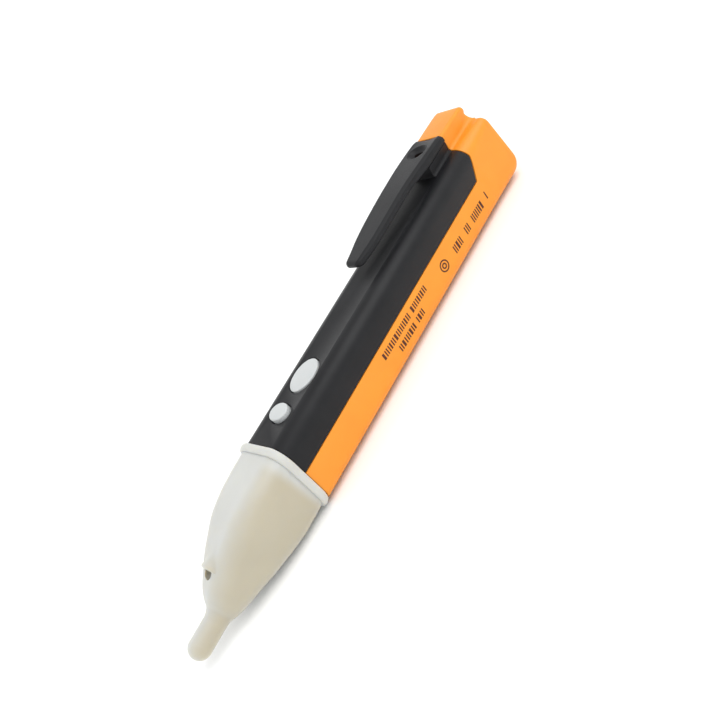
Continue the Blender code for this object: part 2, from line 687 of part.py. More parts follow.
def make_nose_cone(surfaces):
    milky = surfaces["milky"]
    nose = make_nose_solid(milky)
    hood = [(NOZZLE_END_X - 3 * NOZZLE_RADIUS, NOZZLE_RADIUS), (NOZZLE_END_X, NOZZLE_RADIUS)]
    join(nose, nozzle_cylinder("nozzle_tool", hood, milky))
    hollow = [across_x(x, skirt_outline(NOSE_WALL)) for x in (SKIRT_X - OVERCUT, COLLAR_X)]
    base = taper_outline(1.0, 0.0, NOSE_BASE_ROUNDNESS, NOSE_WALL)
    hollow += [across_x(COLLAR_X + NOSE_WALL, base)]
    hollow += taper_rings(NOSE_WALL)[:-1]
    cut(nose, skin("nose_hollow_cutter", hollow, milky))
    bore = ellipse(0.0, FINGER_HEIGHT, FINGER_BORE_RADIUS, FINGER_BORE_RADIUS)
    bore_rings = [across_x(x, bore) for x in (FINGER_ROOT_X - 2 * FINGER_RADIUS, FINGER_BORE_END_X)]
    cut(nose, skin("finger_bore_cutter", bore_rings, milky))
    mouth = [
        (BOARD_FRONT_X, NOZZLE_BORE_RADIUS),
        (NOZZLE_END_X, NOZZLE_BORE_RADIUS),
        (NOZZLE_END_X + NOZZLE_MOUTH_LENGTH, NOZZLE_BORE_RADIUS / 2),
    ]
    cut(nose, nozzle_cylinder("nozzle_bore_cutter", mouth, milky))


# ---------------------------------------------------------------- cells and contacts


def make_cell(name, x, surfaces):
    shoulder = x + CELL_LENGTH - CELL_NUB_LENGTH
    profile = [
        (x, CELL_RADIUS - CELL_EDGE),
        (x + CELL_EDGE, CELL_RADIUS),
        (shoulder - CELL_EDGE, CELL_RADIUS),
        (shoulder, CELL_RADIUS - CELL_EDGE),
        (shoulder, CELL_NUB_RADIUS),
        (x + CELL_LENGTH, CELL_NUB_RADIUS),
    ]
    return lying_cylinder(name, 0.0, CELL_Z, profile, surfaces["jacket"])


def make_cradle(surfaces):
    """An open tray: a well for the cells, cut down to low rails between its end walls."""
    grey = surfaces["grey"]
    high = UNDER_BOARD_Z + OVERCUT
    cradle = box(
        "battery_cradle",
        (CRADLE_TAIL_X, -CRADLE_HALF, CRADLE_FLOOR_Z),
        (CRADLE_FRONT_X, CRADLE_HALF, UNDER_BOARD_Z),
        grey)
    well_half = CELL_RADIUS + GAP
    cut(cradle, box(
        "cradle_well_cutter",
        (CRADLE_TAIL_X + CRADLE_END_WALL, -well_half, CRADLE_FLOOR_Z + CRADLE_WALL),
        (CRADLE_WELL_END_X, well_half, high),
        grey))
    rail_half = CRADLE_HALF + OVERCUT
    rail_ends = CRADLE_END_WALL * 2
    cut(cradle, box(
        "cradle_rail_cutter",
        (CRADLE_TAIL_X + rail_ends, -rail_half, CRADLE_FLOOR_Z + CRADLE_RAIL_HEIGHT),
        (CRADLE_FRONT_X - rail_ends, rail_half, high),
        grey))
    strip_low, strip_high = return_strip_limits()
    cut(cradle, box(
        "strip_notch_cutter",
        (CRADLE_WELL_END_X - GAP, strip_low[1] - GAP, strip_low[2] - GAP + FACE_LIFT),
        (CRADLE_FRONT_X + OVERCUT, strip_high[1] + GAP / 2, strip_high[2] + GAP),
        grey))


def return_strip_limits():
    """The strip lies in the well's lower corner, clear of the round cells."""
    floor_z = CRADLE_FLOOR_Z + CRADLE_WALL + GAP
    low = (PLATE_X + CONTACT_THICKNESS + GAP, CELL_RADIUS - 2 * CONTACT_THICKNESS, floor_z)
    high = (CRADLE_FRONT_X + GAP + CONTACT_THICKNESS, CELL_RADIUS, floor_z + CONTACT_THICKNESS)
    return low, high


def make_return_strip(surfaces):
    """The strip runs back under the cells and turns up to the board at its front end."""
    steel = surfaces["steel"]
    low, high = return_strip_limits()
    strip = box("return_strip", low, high, steel)
    join(strip, box(
        "strip_riser_tool",
        (CRADLE_FRONT_X + GAP, low[1], low[2]),
        (high[0], high[1], UNDER_BOARD_Z),
        steel))


def spring_point(turn):
    """Centre line of the cone-shaped contact spring, one unit of turn per coil."""
    share = turn / SPRING_TURNS
    radius = CELL_RADIUS * (SPRING_PLATE_SHARE + (SPRING_CELL_SHARE - SPRING_PLATE_SHARE) * share)
    run = SPRING_LENGTH - 2 * SPRING_WIRE_RADIUS
    x = SPRING_X + SPRING_WIRE_RADIUS + share * run
    return x, radius, 2 * math.pi * turn


def make_spring(surfaces):
    """Each ring of the wire stands square to the coil, so it holds the coil's axis direction."""
    wire = ellipse(0.0, 0.0, SPRING_WIRE_RADIUS, SPRING_WIRE_RADIUS, SPRING_WIRE_SIDES)
    rings = []
    for step in range(SPRING_TURNS * SPRING_STEPS_PER_TURN + 1):
        x, radius, angle = spring_point(step / SPRING_STEPS_PER_TURN)
        ring = []
        for dx, dr in wire:
            reach = radius + dr
            ring.append((x + dx, reach * math.cos(angle), CELL_Z + reach * math.sin(angle)))
        rings.append(ring)
    return skin("battery_spring", rings, surfaces["steel"])


def make_contacts(surfaces):
    steel = surfaces["steel"]
    box(
        "spring_plate",
        (PLATE_X, -SPRING_PLATE_HALF, CELL_Z - SPRING_PLATE_HALF),
        (PLATE_X + CONTACT_THICKNESS, SPRING_PLATE_HALF, CELL_Z + SPRING_PLATE_HALF),
        steel)
    box(
        "front_contact",
        (FRONT_CONTACT_X, -FRONT_CONTACT_HALF, CELL_Z - FRONT_CONTACT_HALF),
        (FRONT_CONTACT_X + CONTACT_THICKNESS, FRONT_CONTACT_HALF, UNDER_BOARD_Z),
        steel)
    make_return_strip(surfaces)
    make_spring(surfaces)


# ---------------------------------------------------------------- electronics


def make_board(surfaces):
    green = surfaces["board"]
    board = box(
        "circuit_board",
        (BOARD_TAIL_X, -BOARD_HALF_WIDTH, BOARD_BOTTOM_Z),
        (BOARD_FRONT_X, BOARD_HALF_WIDTH, BOARD_TOP_Z),
        green)
    for label, (x, y) in (("rear", REAR_SCREW), ("front", FRONT_SCREW)):
        cut(board, upright_cylinder(
            label + "_board_hole", x, y, SCREW_SHANK_RADIUS + GAP,
            BOARD_BOTTOM_Z - OVERCUT, BOARD_TOP_Z + OVERCUT, green, SMALL_ROUND_STEPS))


def make_board_screw(name, place, surfaces):
    x, y = place
    head = ellipse(x, y, SCREW_HEAD_RADIUS, SCREW_HEAD_RADIUS, SMALL_ROUND_STEPS)
    shank = ellipse(x, y, SCREW_SHANK_RADIUS, SCREW_SHANK_RADIUS, SMALL_ROUND_STEPS)
    rings = [
        across_z(UNDER_BOARD_Z - SCREW_HEAD_HEIGHT, head),
        across_z(UNDER_BOARD_Z, head),
        across_z(UNDER_BOARD_Z, shank),
        across_z(CAVITY_ROOF - 3 * GAP, shank),
    ]
    return skin(name, rings, surfaces["steel"])


def make_signal_lamp(surfaces):
    """The red lamp hangs under the board's front edge and lights the milky nose."""
    x = BOARD_FRONT_X - LAMP_RADIUS
    dome_radius = LAMP_RADIUS * LAMP_DOME_SHARE
    dome = ellipse(x, SIGNAL_LAMP_Y, dome_radius, dome_radius, SMALL_ROUND_STEPS)
    barrel = ellipse(x, SIGNAL_LAMP_Y, LAMP_RADIUS, LAMP_RADIUS, SMALL_ROUND_STEPS)
    dome_z = UNDER_BOARD_Z - LAMP_LENGTH
    rings = [
        across_z(dome_z, dome),
        across_z(dome_z + LAMP_DOME_LENGTH, barrel),
        across_z(UNDER_BOARD_Z, barrel),
    ]
    return skin("signal_lamp", rings, surfaces["red"])


def make_components(surfaces):
    box(
        "controller_chip",
        (CHIP_X - CHIP_HALF_LENGTH, -CHIP_HALF_WIDTH, SWITCH_Z),
        (CHIP_X + CHIP_HALF_LENGTH, CHIP_HALF_WIDTH, SWITCH_Z + CHIP_HEIGHT),
        surfaces["chip"])
    upright_cylinder(
        "buzzer", BUZZER_X, 0.0, BUZZER_RADIUS,
        UNDER_BOARD_Z - BUZZER_HEIGHT, UNDER_BOARD_Z, surfaces["chip"])
    x, y = CAPACITOR_PLACE
    upright_cylinder(
        "capacitor", x, y, CAPACITOR_RADIUS,
        UNDER_BOARD_Z - CAPACITOR_HEIGHT, UNDER_BOARD_Z, surfaces["grey"], SMALL_ROUND_STEPS)
    make_signal_lamp(surfaces)


def make_torch_lamp(surfaces):
    """The torch LED points through the nozzle; its leads run back under the board."""
    start = LAMP_TIP_X - LAMP_LENGTH
    profile = [
        (start, LAMP_RADIUS),
        (LAMP_TIP_X - LAMP_DOME_LENGTH, LAMP_RADIUS),
        (LAMP_TIP_X, LAMP_RADIUS * LAMP_DOME_SHARE),
    ]
    lying_cylinder("torch_lamp", 0.0, NOZZLE_HEIGHT, profile, surfaces["clear"], SMALL_ROUND_STEPS)
    lead_end = start - GAP
    for side, label in ((-1, "left"), (1, "right")):
        y = side * LAMP_RADIUS / 2
        box(
            "torch_lamp_lead_" + label,
            (lead_end - LAMP_LEAD_LENGTH, y - LAMP_LEAD_HALF, UNDER_BOARD_Z - 2 * LAMP_LEAD_HALF),
            (lead_end, y + LAMP_LEAD_HALF, UNDER_BOARD_Z),
            surfaces["steel"])


def sensor_lead_path(rod_start):
    """Centre line of the lead: down from the board, past the lamp, then along the finger's axis."""
    x = BOARD_FRONT_X - SENSOR_LEAD_FROM_BOARD_END
    y = SENSOR_LEAD_Y
    drop = UNDER_BOARD_Z - FINGER_HEIGHT
    run = FINGER_ROOT_X - x
    return [
        (x, y, UNDER_BOARD_Z),
        (x + run * 0.02, y, UNDER_BOARD_Z - drop * 0.4),
        (x + run * 0.16, y * 0.8, UNDER_BOARD_Z - drop * 0.84),
        (x + run * 0.41, y * 0.4, FINGER_HEIGHT + drop * 0.08),
        (x + run * 0.82, 0.0, FINGER_HEIGHT),
        (rod_start - GAP, 0.0, FINGER_HEIGHT),
    ]


def make_sensor(surfaces):
    """A brass rod sits in the finger; an insulated lead brings its signal to the board."""
    rod_end = TIP_X - ROD_END_FROM_TIP
    rod_start = rod_end - ROD_LENGTH
    rod = [(rod_start, ROD_RADIUS), (rod_end, ROD_RADIUS)]
    lying_cylinder("sensor_rod", 0.0, FINGER_HEIGHT, rod, surfaces["brass"], SMALL_ROUND_STEPS)
    path = sensor_lead_path(rod_start)
    curve = bpy.data.curves.new("sensor_lead", "CURVE")
    curve.dimensions = "3D"
    line = curve.splines.new("POLY")
    line.points.add(len(path) - 1)
    for point, place in zip(line.points, path):
        point.co = (*place, 1.0)
    curve.bevel_depth = SENSOR_LEAD_RADIUS
    curve.bevel_resolution = 2
    curve.use_fill_caps = True
    curve.materials.append(surfaces["green"])
    lead = bpy.data.objects.new("sensor_lead", curve)
    bpy.context.scene.collection.objects.link(lead)


def main():
    clear_scene()
    surfaces = make_materials()
    make_rear_housing(surfaces)
    make_front_cover(surfaces)
    make_pocket_clip(surfaces)
    make_keys(surfaces)
    make_nose_cone(surfaces)
    make_cradle(surfaces)
    make_cell("rear_cell", REAR_CELL_X, surfaces)
    make_cell("front_cell", FRONT_CELL_X, surfaces)
    make_contacts(surfaces)
    make_board(surfaces)
    make_board_screw("rear_board_screw", REAR_SCREW, surfaces)
    make_board_screw("front_board_screw", FRONT_SCREW, surfaces)
    make_components(surfaces)
    make_torch_lamp(surfaces)
    make_sensor(surfaces)


main()
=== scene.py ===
"""Looks for the non-contact voltage tester pen: fine shells, printed marks, materials, light and camera."""

import json
import math
import random

import bmesh
import bpy
from mathutils import Matrix, Vector


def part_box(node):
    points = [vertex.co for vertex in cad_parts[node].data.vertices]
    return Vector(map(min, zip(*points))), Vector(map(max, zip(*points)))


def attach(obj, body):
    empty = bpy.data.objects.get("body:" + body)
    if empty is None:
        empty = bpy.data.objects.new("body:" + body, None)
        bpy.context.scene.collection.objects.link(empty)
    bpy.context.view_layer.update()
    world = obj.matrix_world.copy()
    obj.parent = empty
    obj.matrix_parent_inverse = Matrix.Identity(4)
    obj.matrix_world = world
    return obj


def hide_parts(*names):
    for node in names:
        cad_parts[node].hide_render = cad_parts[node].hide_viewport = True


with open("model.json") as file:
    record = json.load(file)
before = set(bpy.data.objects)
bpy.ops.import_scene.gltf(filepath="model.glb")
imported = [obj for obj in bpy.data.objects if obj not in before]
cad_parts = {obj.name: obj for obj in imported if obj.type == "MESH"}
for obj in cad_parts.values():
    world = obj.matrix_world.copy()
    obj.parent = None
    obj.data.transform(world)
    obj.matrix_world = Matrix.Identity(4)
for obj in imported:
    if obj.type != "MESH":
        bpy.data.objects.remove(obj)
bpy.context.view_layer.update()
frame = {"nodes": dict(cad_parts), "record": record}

MM = 0.001

# ---------------------------------------------------------------- sizes that the frame doesn't give
BODY_HEIGHT = 19.2 * MM
TOP_RADIUS = 4.6 * MM
BOTTOM_RADIUS = 2.9 * MM
WALL = 1.4 * MM
GAP = 0.3 * MM
SEAM_HEIGHT = 10.4 * MM
CHAMFER_LENGTH = 3.8 * MM
CHAMFER_HEIGHT = 6.0 * MM
TAIL_WALL = 1.9 * MM
TAIL_FLARE = 0.3 * MM
TAIL_ROUNDING = 0.9 * MM
SHOULDER_RADIUS = 2.4 * MM
SPINE_HALF_WIDTH = 5.0 * MM
SPINE_WAIST = 4.3 * MM
SPINE_FILLET = 1.0 * MM
SPINE_ROUNDING = 0.8 * MM
TAIL_FILLET = 2.5 * MM
TAIL_FILLET_REACH = 5.0 * MM
TONGUE_HALF_WIDTH = 2.1 * MM
TONGUE_LENGTH = 8.0 * MM
SEAT_LENGTH = 9.3 * MM
CLIP_THICKNESS = 1.9 * MM
CLIP_SLOT_FROM_ROOT = 5.2 * MM
COLLAR_THICKNESS = 2.2 * MM
COLLAR_OVERHANG = 1.1 * MM
COLLAR_RADIUS = 5.6 * MM
COLLAR_LEAN = 0.09
NOSE_WALL = 1.2 * MM
FINGER_RADIUS = 2.9 * MM
FINGER_HEIGHT = 6.15 * MM
NOZZLE_RADIUS = 2.4 * MM
NOZZLE_BORE_RADIUS = 1.7 * MM
NOZZLE_HEIGHT = 14.0 * MM
NOZZLE_FROM_TIP = 18.1 * MM
EDGE = 0.18 * MM
FACE_LIFT = 0.02 * MM
OVERCUT = 5.0 * MM
ARC_STEPS = 12
PRINT_SUNK = 0.02 * MM
PRINT_PROUD = 0.025 * MM
BLOCK_GAP = 0.36 * MM
LETTER_GAP = 0.08 * MM
WORD_GAP = 1.0 * MM
TAIL_CHIN_REACH = 3.0 * MM
TAIL_CHIN_HEIGHT = 2.6 * MM
TONGUE_RISE = 0.15 * MM
KEY_FLANGE = 0.5 * MM
KEY_RIM = 0.35 * MM
KEY_DOME = 0.12 * MM
CLIP_CORNER = 1.6 * MM
CLIP_BEVEL = 1.15 * MM
CLIP_SLOT_HALF = (1.1 * MM, 1.9 * MM)
HOOD_EXTRA_RADIUS = 0.55 * MM
HOOD_LIP = 0.7 * MM
HOOD_BLEND = 0.6 * MM
MOUTH_DEPTH = 0.7 * MM
MOUTH_SCOOP = 1.9 * MM
FINGER_BORE_RADIUS = 1.5 * MM

# ---------------------------------------------------------------- places read from the frame
housing_low, housing_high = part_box("rear_housing")
cover_low, cover_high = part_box("front_cover")
clip_low, clip_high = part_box("pocket_clip")
nose_low, nose_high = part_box("nose_cone")
HALF_WIDTH = cover_high.y
BACK_Z = housing_low.z
TOP_Z = BACK_Z + BODY_HEIGHT
MID_Z = (BACK_Z + TOP_Z) / 2
SEAM_Z = BACK_Z + SEAM_HEIGHT
TAIL_X = housing_low.x
SHELL_FRONT_X = housing_high.x - COLLAR_LEAN * (SEAM_Z - BACK_Z)
COVER_TAIL_X = cover_low.x
SEAT_TOP_Z = cover_high.z
SPINE_TOP_Z = housing_high.z
TIP_X = nose_high.x
COLLAR_X = SHELL_FRONT_X + GAP
COLLAR_FRONT_X = COLLAR_X + COLLAR_THICKNESS
CAVITY_HALF = HALF_WIDTH - WALL
CAVITY_FLOOR = BACK_Z + WALL
CAVITY_ROOF = TOP_Z - WALL
CLIP_UNDER_Z = SEAT_TOP_Z + GAP
CLIP_TOP_Z = CLIP_UNDER_Z + CLIP_THICKNESS
CLIP_SLOT_X = COVER_TAIL_X + CLIP_SLOT_FROM_ROOT
NOZZLE_END_X = TIP_X - NOZZLE_FROM_TIP


# ---------------------------------------------------------------- shape helpers


def arc(centre, radius, start, end, steps=ARC_STEPS):
    """Points of an arc; the angles are in degrees and both ends are included."""
    angles = [math.radians(start + (end - start) * i / steps) for i in range(steps + 1)]
    return [(centre[0] + radius * math.cos(a), centre[1] + radius * math.sin(a)) for a in angles]


def rounded_outline(half_width, bottom, top, bottom_radius, top_radius, steps=ARC_STEPS):
    outline = arc((half_width - bottom_radius, bottom + bottom_radius), bottom_radius, -90, 0, steps)
    outline += arc((half_width - top_radius, top - top_radius), top_radius, 0, 90, steps)
    outline += arc((top_radius - half_width, top - top_radius), top_radius, 90, 180, steps)
    outline += arc((bottom_radius - half_width, bottom + bottom_radius), bottom_radius, 180, 270, steps)
    return outline


def ellipse(x, y, half_length, half_width, steps=64):
    angles = [2 * math.pi * i / steps for i in range(steps)]
    return [(x + half_length * math.cos(a), y + half_width * math.sin(a)) for a in angles]


def across_x(x, outline):
    return [(x, y, z) for y, z in outline]


def across_z(z, outline):
    return [(x, y, z) for x, y in outline]


def leaning(x, outline, lean=COLLAR_LEAN):
    """A section across X that leans as the collar does, about the seam's height."""
    return [(x - lean * (z - SEAM_Z), y, z) for y, z in outline]


def knot_slope(one, other):
    """Slope at a knot between stretches of these slopes; flat where the curve turns."""
    return 0.0 if one * other <= 0 else 2 * one * other / (one + other)


def smooth_curve(knots, x):
    """Values at x of a smooth curve through the knots, each (x, value, ...); it never overshoots."""
    if x <= knots[0][0]:
        return knots[0][1:]
    if x > knots[-1][0]:
        return knots[-1][1:]
    ahead = next(i for i, knot in enumerate(knots) if x <= knot[0])
    before, here, there = knots[max(0, ahead - 2)], knots[ahead - 1], knots[ahead]
    after = knots[min(ahead + 1, len(knots) - 1)]
    span = there[0] - here[0]
    t = (x - here[0]) / span
    found = []
    for i in range(1, len(here)):
        rise = (there[i] - here[i]) / span
        slope_in = (here[i] - before[i]) / (here[0] - before[0]) if here[0] > before[0] else rise
        slope_out = (after[i] - there[i]) / (after[0] - there[0]) if after[0] > there[0] else rise
        value = (2 * t ** 3 - 3 * t ** 2 + 1) * here[i] + (3 * t ** 2 - 2 * t ** 3) * there[i]
        value += (t ** 3 - 2 * t ** 2 + t) * span * knot_slope(slope_in, rise)
        value += (t ** 3 - t ** 2) * span * knot_slope(slope_out, rise)
        found.append(value)
    return tuple(found)


def stations(start, end, step):
    count = max(1, round((end - start) / step))
    return [start + (end - start) * i / count for i in range(count + 1)]


def finish_mesh(name, mesh, surface=None):
    bmesh.ops.recalc_face_normals(mesh, faces=mesh.faces)
    data = bpy.data.meshes.new(name)
    mesh.to_mesh(data)
    mesh.free()
    if surface:
        data.materials.append(surface)
    made = bpy.data.objects.new(name, data)
    bpy.context.scene.collection.objects.link(made)
    return made


def skin(name, rings, surface=None):
    """Closed skin over rings of points; every ring has the same number of points."""
    mesh = bmesh.new()
    loops = [[mesh.verts.new(point) for point in ring] for ring in rings]
    count = len(loops[0])
    for near, far in zip(loops, loops[1:]):
        for i in range(count):
            j = (i + 1) % count
            mesh.faces.new((near[i], near[j], far[j], far[i]))
    mesh.faces.new(loops[0])
    mesh.faces.new(list(reversed(loops[-1])))
    return finish_mesh(name, mesh, surface)


def box(name, low, high):
    outline = [(low[0], low[1]), (high[0], low[1]), (high[0], high[1]), (low[0], high[1])]
    return skin(name, [across_z(low[2], outline), across_z(high[2], outline)])


def lying_cylinder(name, y, z, profile, steps=48):
    return skin(name, [across_x(x, ellipse(y, z, radius, radius, steps)) for x, radius in profile])


def boolean(target, tool, operation):
    change = target.modifiers.new(tool.name, "BOOLEAN")
    change.operation = operation
    change.solver = "EXACT"
    change.object = tool
    return tool


def settle(piece, edge=0.0, edge_steps=2, sharp=28.0):
    """Apply the piece's modifiers, round its sharp edges a little, and drop its tools."""
    tools = [change.object for change in piece.modifiers if change.type == "BOOLEAN"]
    if edge:
        rounding = piece.modifiers.new("edges", "BEVEL")
        rounding.width = edge
        rounding.segments = edge_steps
        rounding.limit_method = "ANGLE"
        rounding.angle_limit = math.radians(sharp)
        rounding.use_clamp_overlap = True
        rounding.miter_outer = "MITER_ARC"
    graph = bpy.context.evaluated_depsgraph_get()
    done = bpy.data.meshes.new_from_object(piece.evaluated_get(graph))
    piece.modifiers.clear()
    old = piece.data
    piece.data = done
    done.name = piece.name
    bpy.data.meshes.remove(old)
    for tool in tools:
        bpy.data.objects.remove(tool, do_unlink=True)
    piece.data.shade_smooth()
    piece.data.set_sharp_from_angle(angle=math.radians(35))
    return piece


def show(piece, body, slot, surface, *nodes):
    """Give the piece its material and body, and hide the CAD nodes it stands for."""
    piece.data.materials.clear()
    piece.data.materials.append(surface)
    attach(piece, body)
    if nodes:
        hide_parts(*nodes)
    return piece


# ---------------------------------------------------------------- materials


class Surface:
    """A procedural material built round one Principled shader."""

    def __init__(self, name, roughness, metallic=0.0, specular=0.5):
        self.material = bpy.data.materials.new(name)
        self.material.use_nodes = True
        self.nodes = self.material.node_tree.nodes
        self.links = self.material.node_tree.links
        self.shader = self.nodes["Principled BSDF"]
        self.shader.inputs["Roughness"].default_value = roughness
        self.shader.inputs["Metallic"].default_value = metallic
        self.shader.inputs["Specular IOR Level"].default_value = specular
        self.place = self.nodes.new("ShaderNodeTexCoord").outputs["Object"]

    def node(self, kind, **settings):
        made = self.nodes.new(kind)
        for key, value in settings.items():
            setattr(made, key, value)
        return made

    def link(self, output, target):
        self.links.new(output, target)

    def stretched(self, stretch):
        mapping = self.node("ShaderNodeMapping")
        mapping.inputs["Scale"].default_value = stretch
        self.link(self.place, mapping.inputs["Vector"])
        return mapping.outputs["Vector"]

    def noise(self, size, detail=3.0, place=None, roughness=0.5):
        """Noise with features of the given size in metres."""
        made = self.node("ShaderNodeTexNoise")
        made.inputs["Scale"].default_value = 1.0 / size
        made.inputs["Detail"].default_value = detail
        made.inputs["Roughness"].default_value = roughness
        self.link(place or self.place, made.inputs["Vector"])
        return made.outputs["Fac"]

    def blend(self, factor, low, high, start=0.35, end=0.65):
        """Colour ramp between two colours, driven by a factor."""
        ramp = self.node("ShaderNodeValToRGB")
        ramp.color_ramp.elements[0].position = start
        ramp.color_ramp.elements[1].position = end
        ramp.color_ramp.elements[0].color = (*low, 1.0)
        ramp.color_ramp.elements[1].color = (*high, 1.0)
        self.link(factor, ramp.inputs["Fac"])
        return ramp.outputs["Color"]

    def spread(self, factor, low, high):
        made = self.node("ShaderNodeMapRange")
        made.inputs["From Min"].default_value = 0.3
        made.inputs["From Max"].default_value = 0.7
        made.inputs["To Min"].default_value = low
        made.inputs["To Max"].default_value = high
        self.link(factor, made.inputs["Value"])
        return made.outputs["Result"]

    def colour(self, output):
        self.link(output, self.shader.inputs["Base Color"])

    def roughness(self, output):
        self.link(output, self.shader.inputs["Roughness"])

    def bump(self, height, depth, strength=1.0):
        made = self.node("ShaderNodeBump")
        made.inputs["Strength"].default_value = strength
        made.inputs["Distance"].default_value = depth
        self.link(height, made.inputs["Height"])
        if self.shader.inputs["Normal"].is_linked:
            self.link(self.shader.inputs["Normal"].links[0].from_socket, made.inputs["Normal"])
        self.link(made.outputs["Normal"], self.shader.inputs["Normal"])

    def scatter(self, weight, radius, scale):
        self.shader.inputs["Subsurface Weight"].default_value = weight
        self.shader.inputs["Subsurface Radius"].default_value = radius
        self.shader.inputs["Subsurface Scale"].default_value = scale


def shade(colour, factor):
    return tuple(value * factor for value in colour)


def moulded_plastic(name, colour, roughness, grain, depth, variation=0.05, specular=0.5):
    """Injection-moulded plastic: slight tone drift, slow waviness and a fine grain."""
    surface = Surface(name, roughness, specular=specular)
    drift = surface.noise(9.0 * MM, detail=2.0)
    surface.colour(surface.blend(drift, shade(colour, 1 - variation), shade(colour, 1 + variation)))
    fine = surface.noise(grain, detail=4.0)
    surface.roughness(surface.spread(fine, roughness - 0.05, roughness + 0.05))
    surface.bump(fine, depth)
    return surface


def orange_plastic():
    surface = moulded_plastic("orange_plastic", (0.8, 0.28, 0.02), 0.42, 0.35 * MM, 0.006 * MM, 0.03, 0.4)
    surface.scatter(0.12, (1.0, 0.35, 0.08), 1.2 * MM)
    return surface.material


def black_plastic():
    colour = (0.0095, 0.0097, 0.0112)
    return moulded_plastic("black_plastic", colour, 0.42, 0.22 * MM, 0.012 * MM, 0.12, 0.24).material


def milky_plastic():
    """Milky plastic with painted shade: its flanks behind the collar, picked by which way the surface faces,
    are painted darker and warmer than its top. This stands in both for the shade on the sides and for the
    parts inside showing through.
    """
    surface = moulded_plastic("milky_plastic", (0.55, 0.555, 0.53), 0.36, 0.5 * MM, 0.006 * MM, 0.02, 0.4)
    white = surface.shader.inputs["Base Color"].links[0].from_socket
    facing = surface.node("ShaderNodeSeparateXYZ")
    surface.link(surface.node("ShaderNodeTexCoord").outputs["Normal"], facing.inputs["Vector"])
    sideways = surface.node("ShaderNodeMath", operation="ABSOLUTE")
    surface.link(facing.outputs["Y"], sideways.inputs[0])
    along = surface.node("ShaderNodeSeparateXYZ")
    surface.link(surface.place, along.inputs["Vector"])
    behind = surface.node("ShaderNodeMapRange", interpolation_type="SMOOTHSTEP")
    for key, value in (("From Min", COLLAR_FRONT_X), ("From Max", COLLAR_FRONT_X + 3 * MM)):
        behind.inputs[key].default_value = value
    surface.link(along.outputs["X"], behind.inputs["Value"])
    share = surface.node("ShaderNodeMath", operation="MULTIPLY")
    surface.link(sideways.outputs["Value"], share.inputs[0])
    surface.link(behind.outputs["Result"], share.inputs[1])
    # painted shade: the flanks are multiplied towards a darker, warmer tone by the way the surface faces
    painted_flank_shade = surface.node("ShaderNodeMix", data_type="RGBA", blend_type="MULTIPLY")
    surface.link(share.outputs["Value"], painted_flank_shade.inputs["Factor"])
    surface.link(white, painted_flank_shade.inputs["A"])
    painted_flank_shade.inputs["B"].default_value = (0.86, 0.78, 0.63, 1.0)
    surface.colour(painted_flank_shade.outputs["Result"])
    surface.scatter(1.0, (1.0, 0.86, 0.62), 1.2 * MM)
    return surface.material


def key_plastic():
    surface = moulded_plastic("key_plastic", (0.52, 0.54, 0.54), 0.42, 0.3 * MM, 0.008 * MM, 0.03, 0.45)
    surface.scatter(0.3, (1.0, 0.95, 0.85), 0.8 * MM)
    return surface.material


def print_ink():
    surface = moulded_plastic("print_ink", (0.085, 0.022, 0.01), 0.55, 0.15 * MM, 0.004 * MM, 0.15, 0.3)
    return surface.material


def grey_frame():
    return moulded_plastic("grey_frame", (0.2, 0.2, 0.21), 0.5, 0.4 * MM, 0.012 * MM, 0.08).material


def chip_black():
    return moulded_plastic("chip_black", (0.02, 0.02, 0.021), 0.42, 0.12 * MM, 0.01 * MM, 0.15).material


def board_green():
    """Solder mask over a weave of glass, with paler copper tracks under it."""
    surface = Surface("board_green", 0.35)
    tracks = surface.node("ShaderNodeTexBrick")
    tracks.inputs["Scale"].default_value = 1.0
    tracks.inputs["Brick Width"].default_value = 3.1 * MM
    tracks.inputs["Row Height"].default_value = 1.3 * MM
    tracks.inputs["Mortar Size"].default_value = 0.12 * MM
    tracks.inputs["Color1"].default_value = (0.012, 0.12, 0.045, 1.0)
    tracks.inputs["Color2"].default_value = (0.016, 0.14, 0.05, 1.0)
    tracks.inputs["Mortar"].default_value = (0.05, 0.3, 0.1, 1.0)
    surface.link(surface.place, tracks.inputs["Vector"])
    surface.colour(tracks.outputs["Color"])
    weave = surface.noise(0.3 * MM, detail=2.0)
    surface.bump(weave, 0.01 * MM)
    surface.roughness(surface.spread(weave, 0.3, 0.42))
    return surface.material


def cell_jacket():
    """A shrink sleeve in two plain tones: a dark body and a copper-coloured band at the positive end."""
    surface = Surface("cell_jacket", 0.3)
    split = surface.node("ShaderNodeSeparateXYZ")
    surface.link(surface.place, split.inputs["Vector"])
    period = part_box("front_cell")[0].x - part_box("rear_cell")[0].x
    along = surface.node("ShaderNodeMath", operation="SUBTRACT")
    surface.link(split.outputs["X"], along.inputs[0])
    along.inputs[1].default_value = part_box("rear_cell")[0].x
    turn = surface.node("ShaderNodeMath", operation="DIVIDE")
    surface.link(along.outputs["Value"], turn.inputs[0])
    turn.inputs[1].default_value = period
    share = surface.node("ShaderNodeMath", operation="FRACT")
    surface.link(turn.outputs["Value"], share.inputs[0])
    surface.colour(surface.blend(share.outputs["Value"], (0.03, 0.05, 0.14), (0.62, 0.3, 0.12), 0.70, 0.705))
    fine = surface.noise(0.4 * MM, detail=3.0)
    surface.bump(fine, 0.006 * MM)
    surface.roughness(surface.spread(fine, 0.24, 0.34))
    return surface.material


def metal(name, colour, roughness, stretch):
    surface = Surface(name, roughness, metallic=1.0)
    drift = surface.noise(3.0 * MM, detail=2.0)
    surface.colour(surface.blend(drift, shade(colour, 0.9), shade(colour, 1.05)))
    brushed = surface.noise(0.2 * MM, detail=3.0, place=surface.stretched(stretch))
    surface.roughness(surface.spread(brushed, roughness - 0.08, roughness + 0.1))
    surface.bump(brushed, 0.004 * MM)
    return surface.material


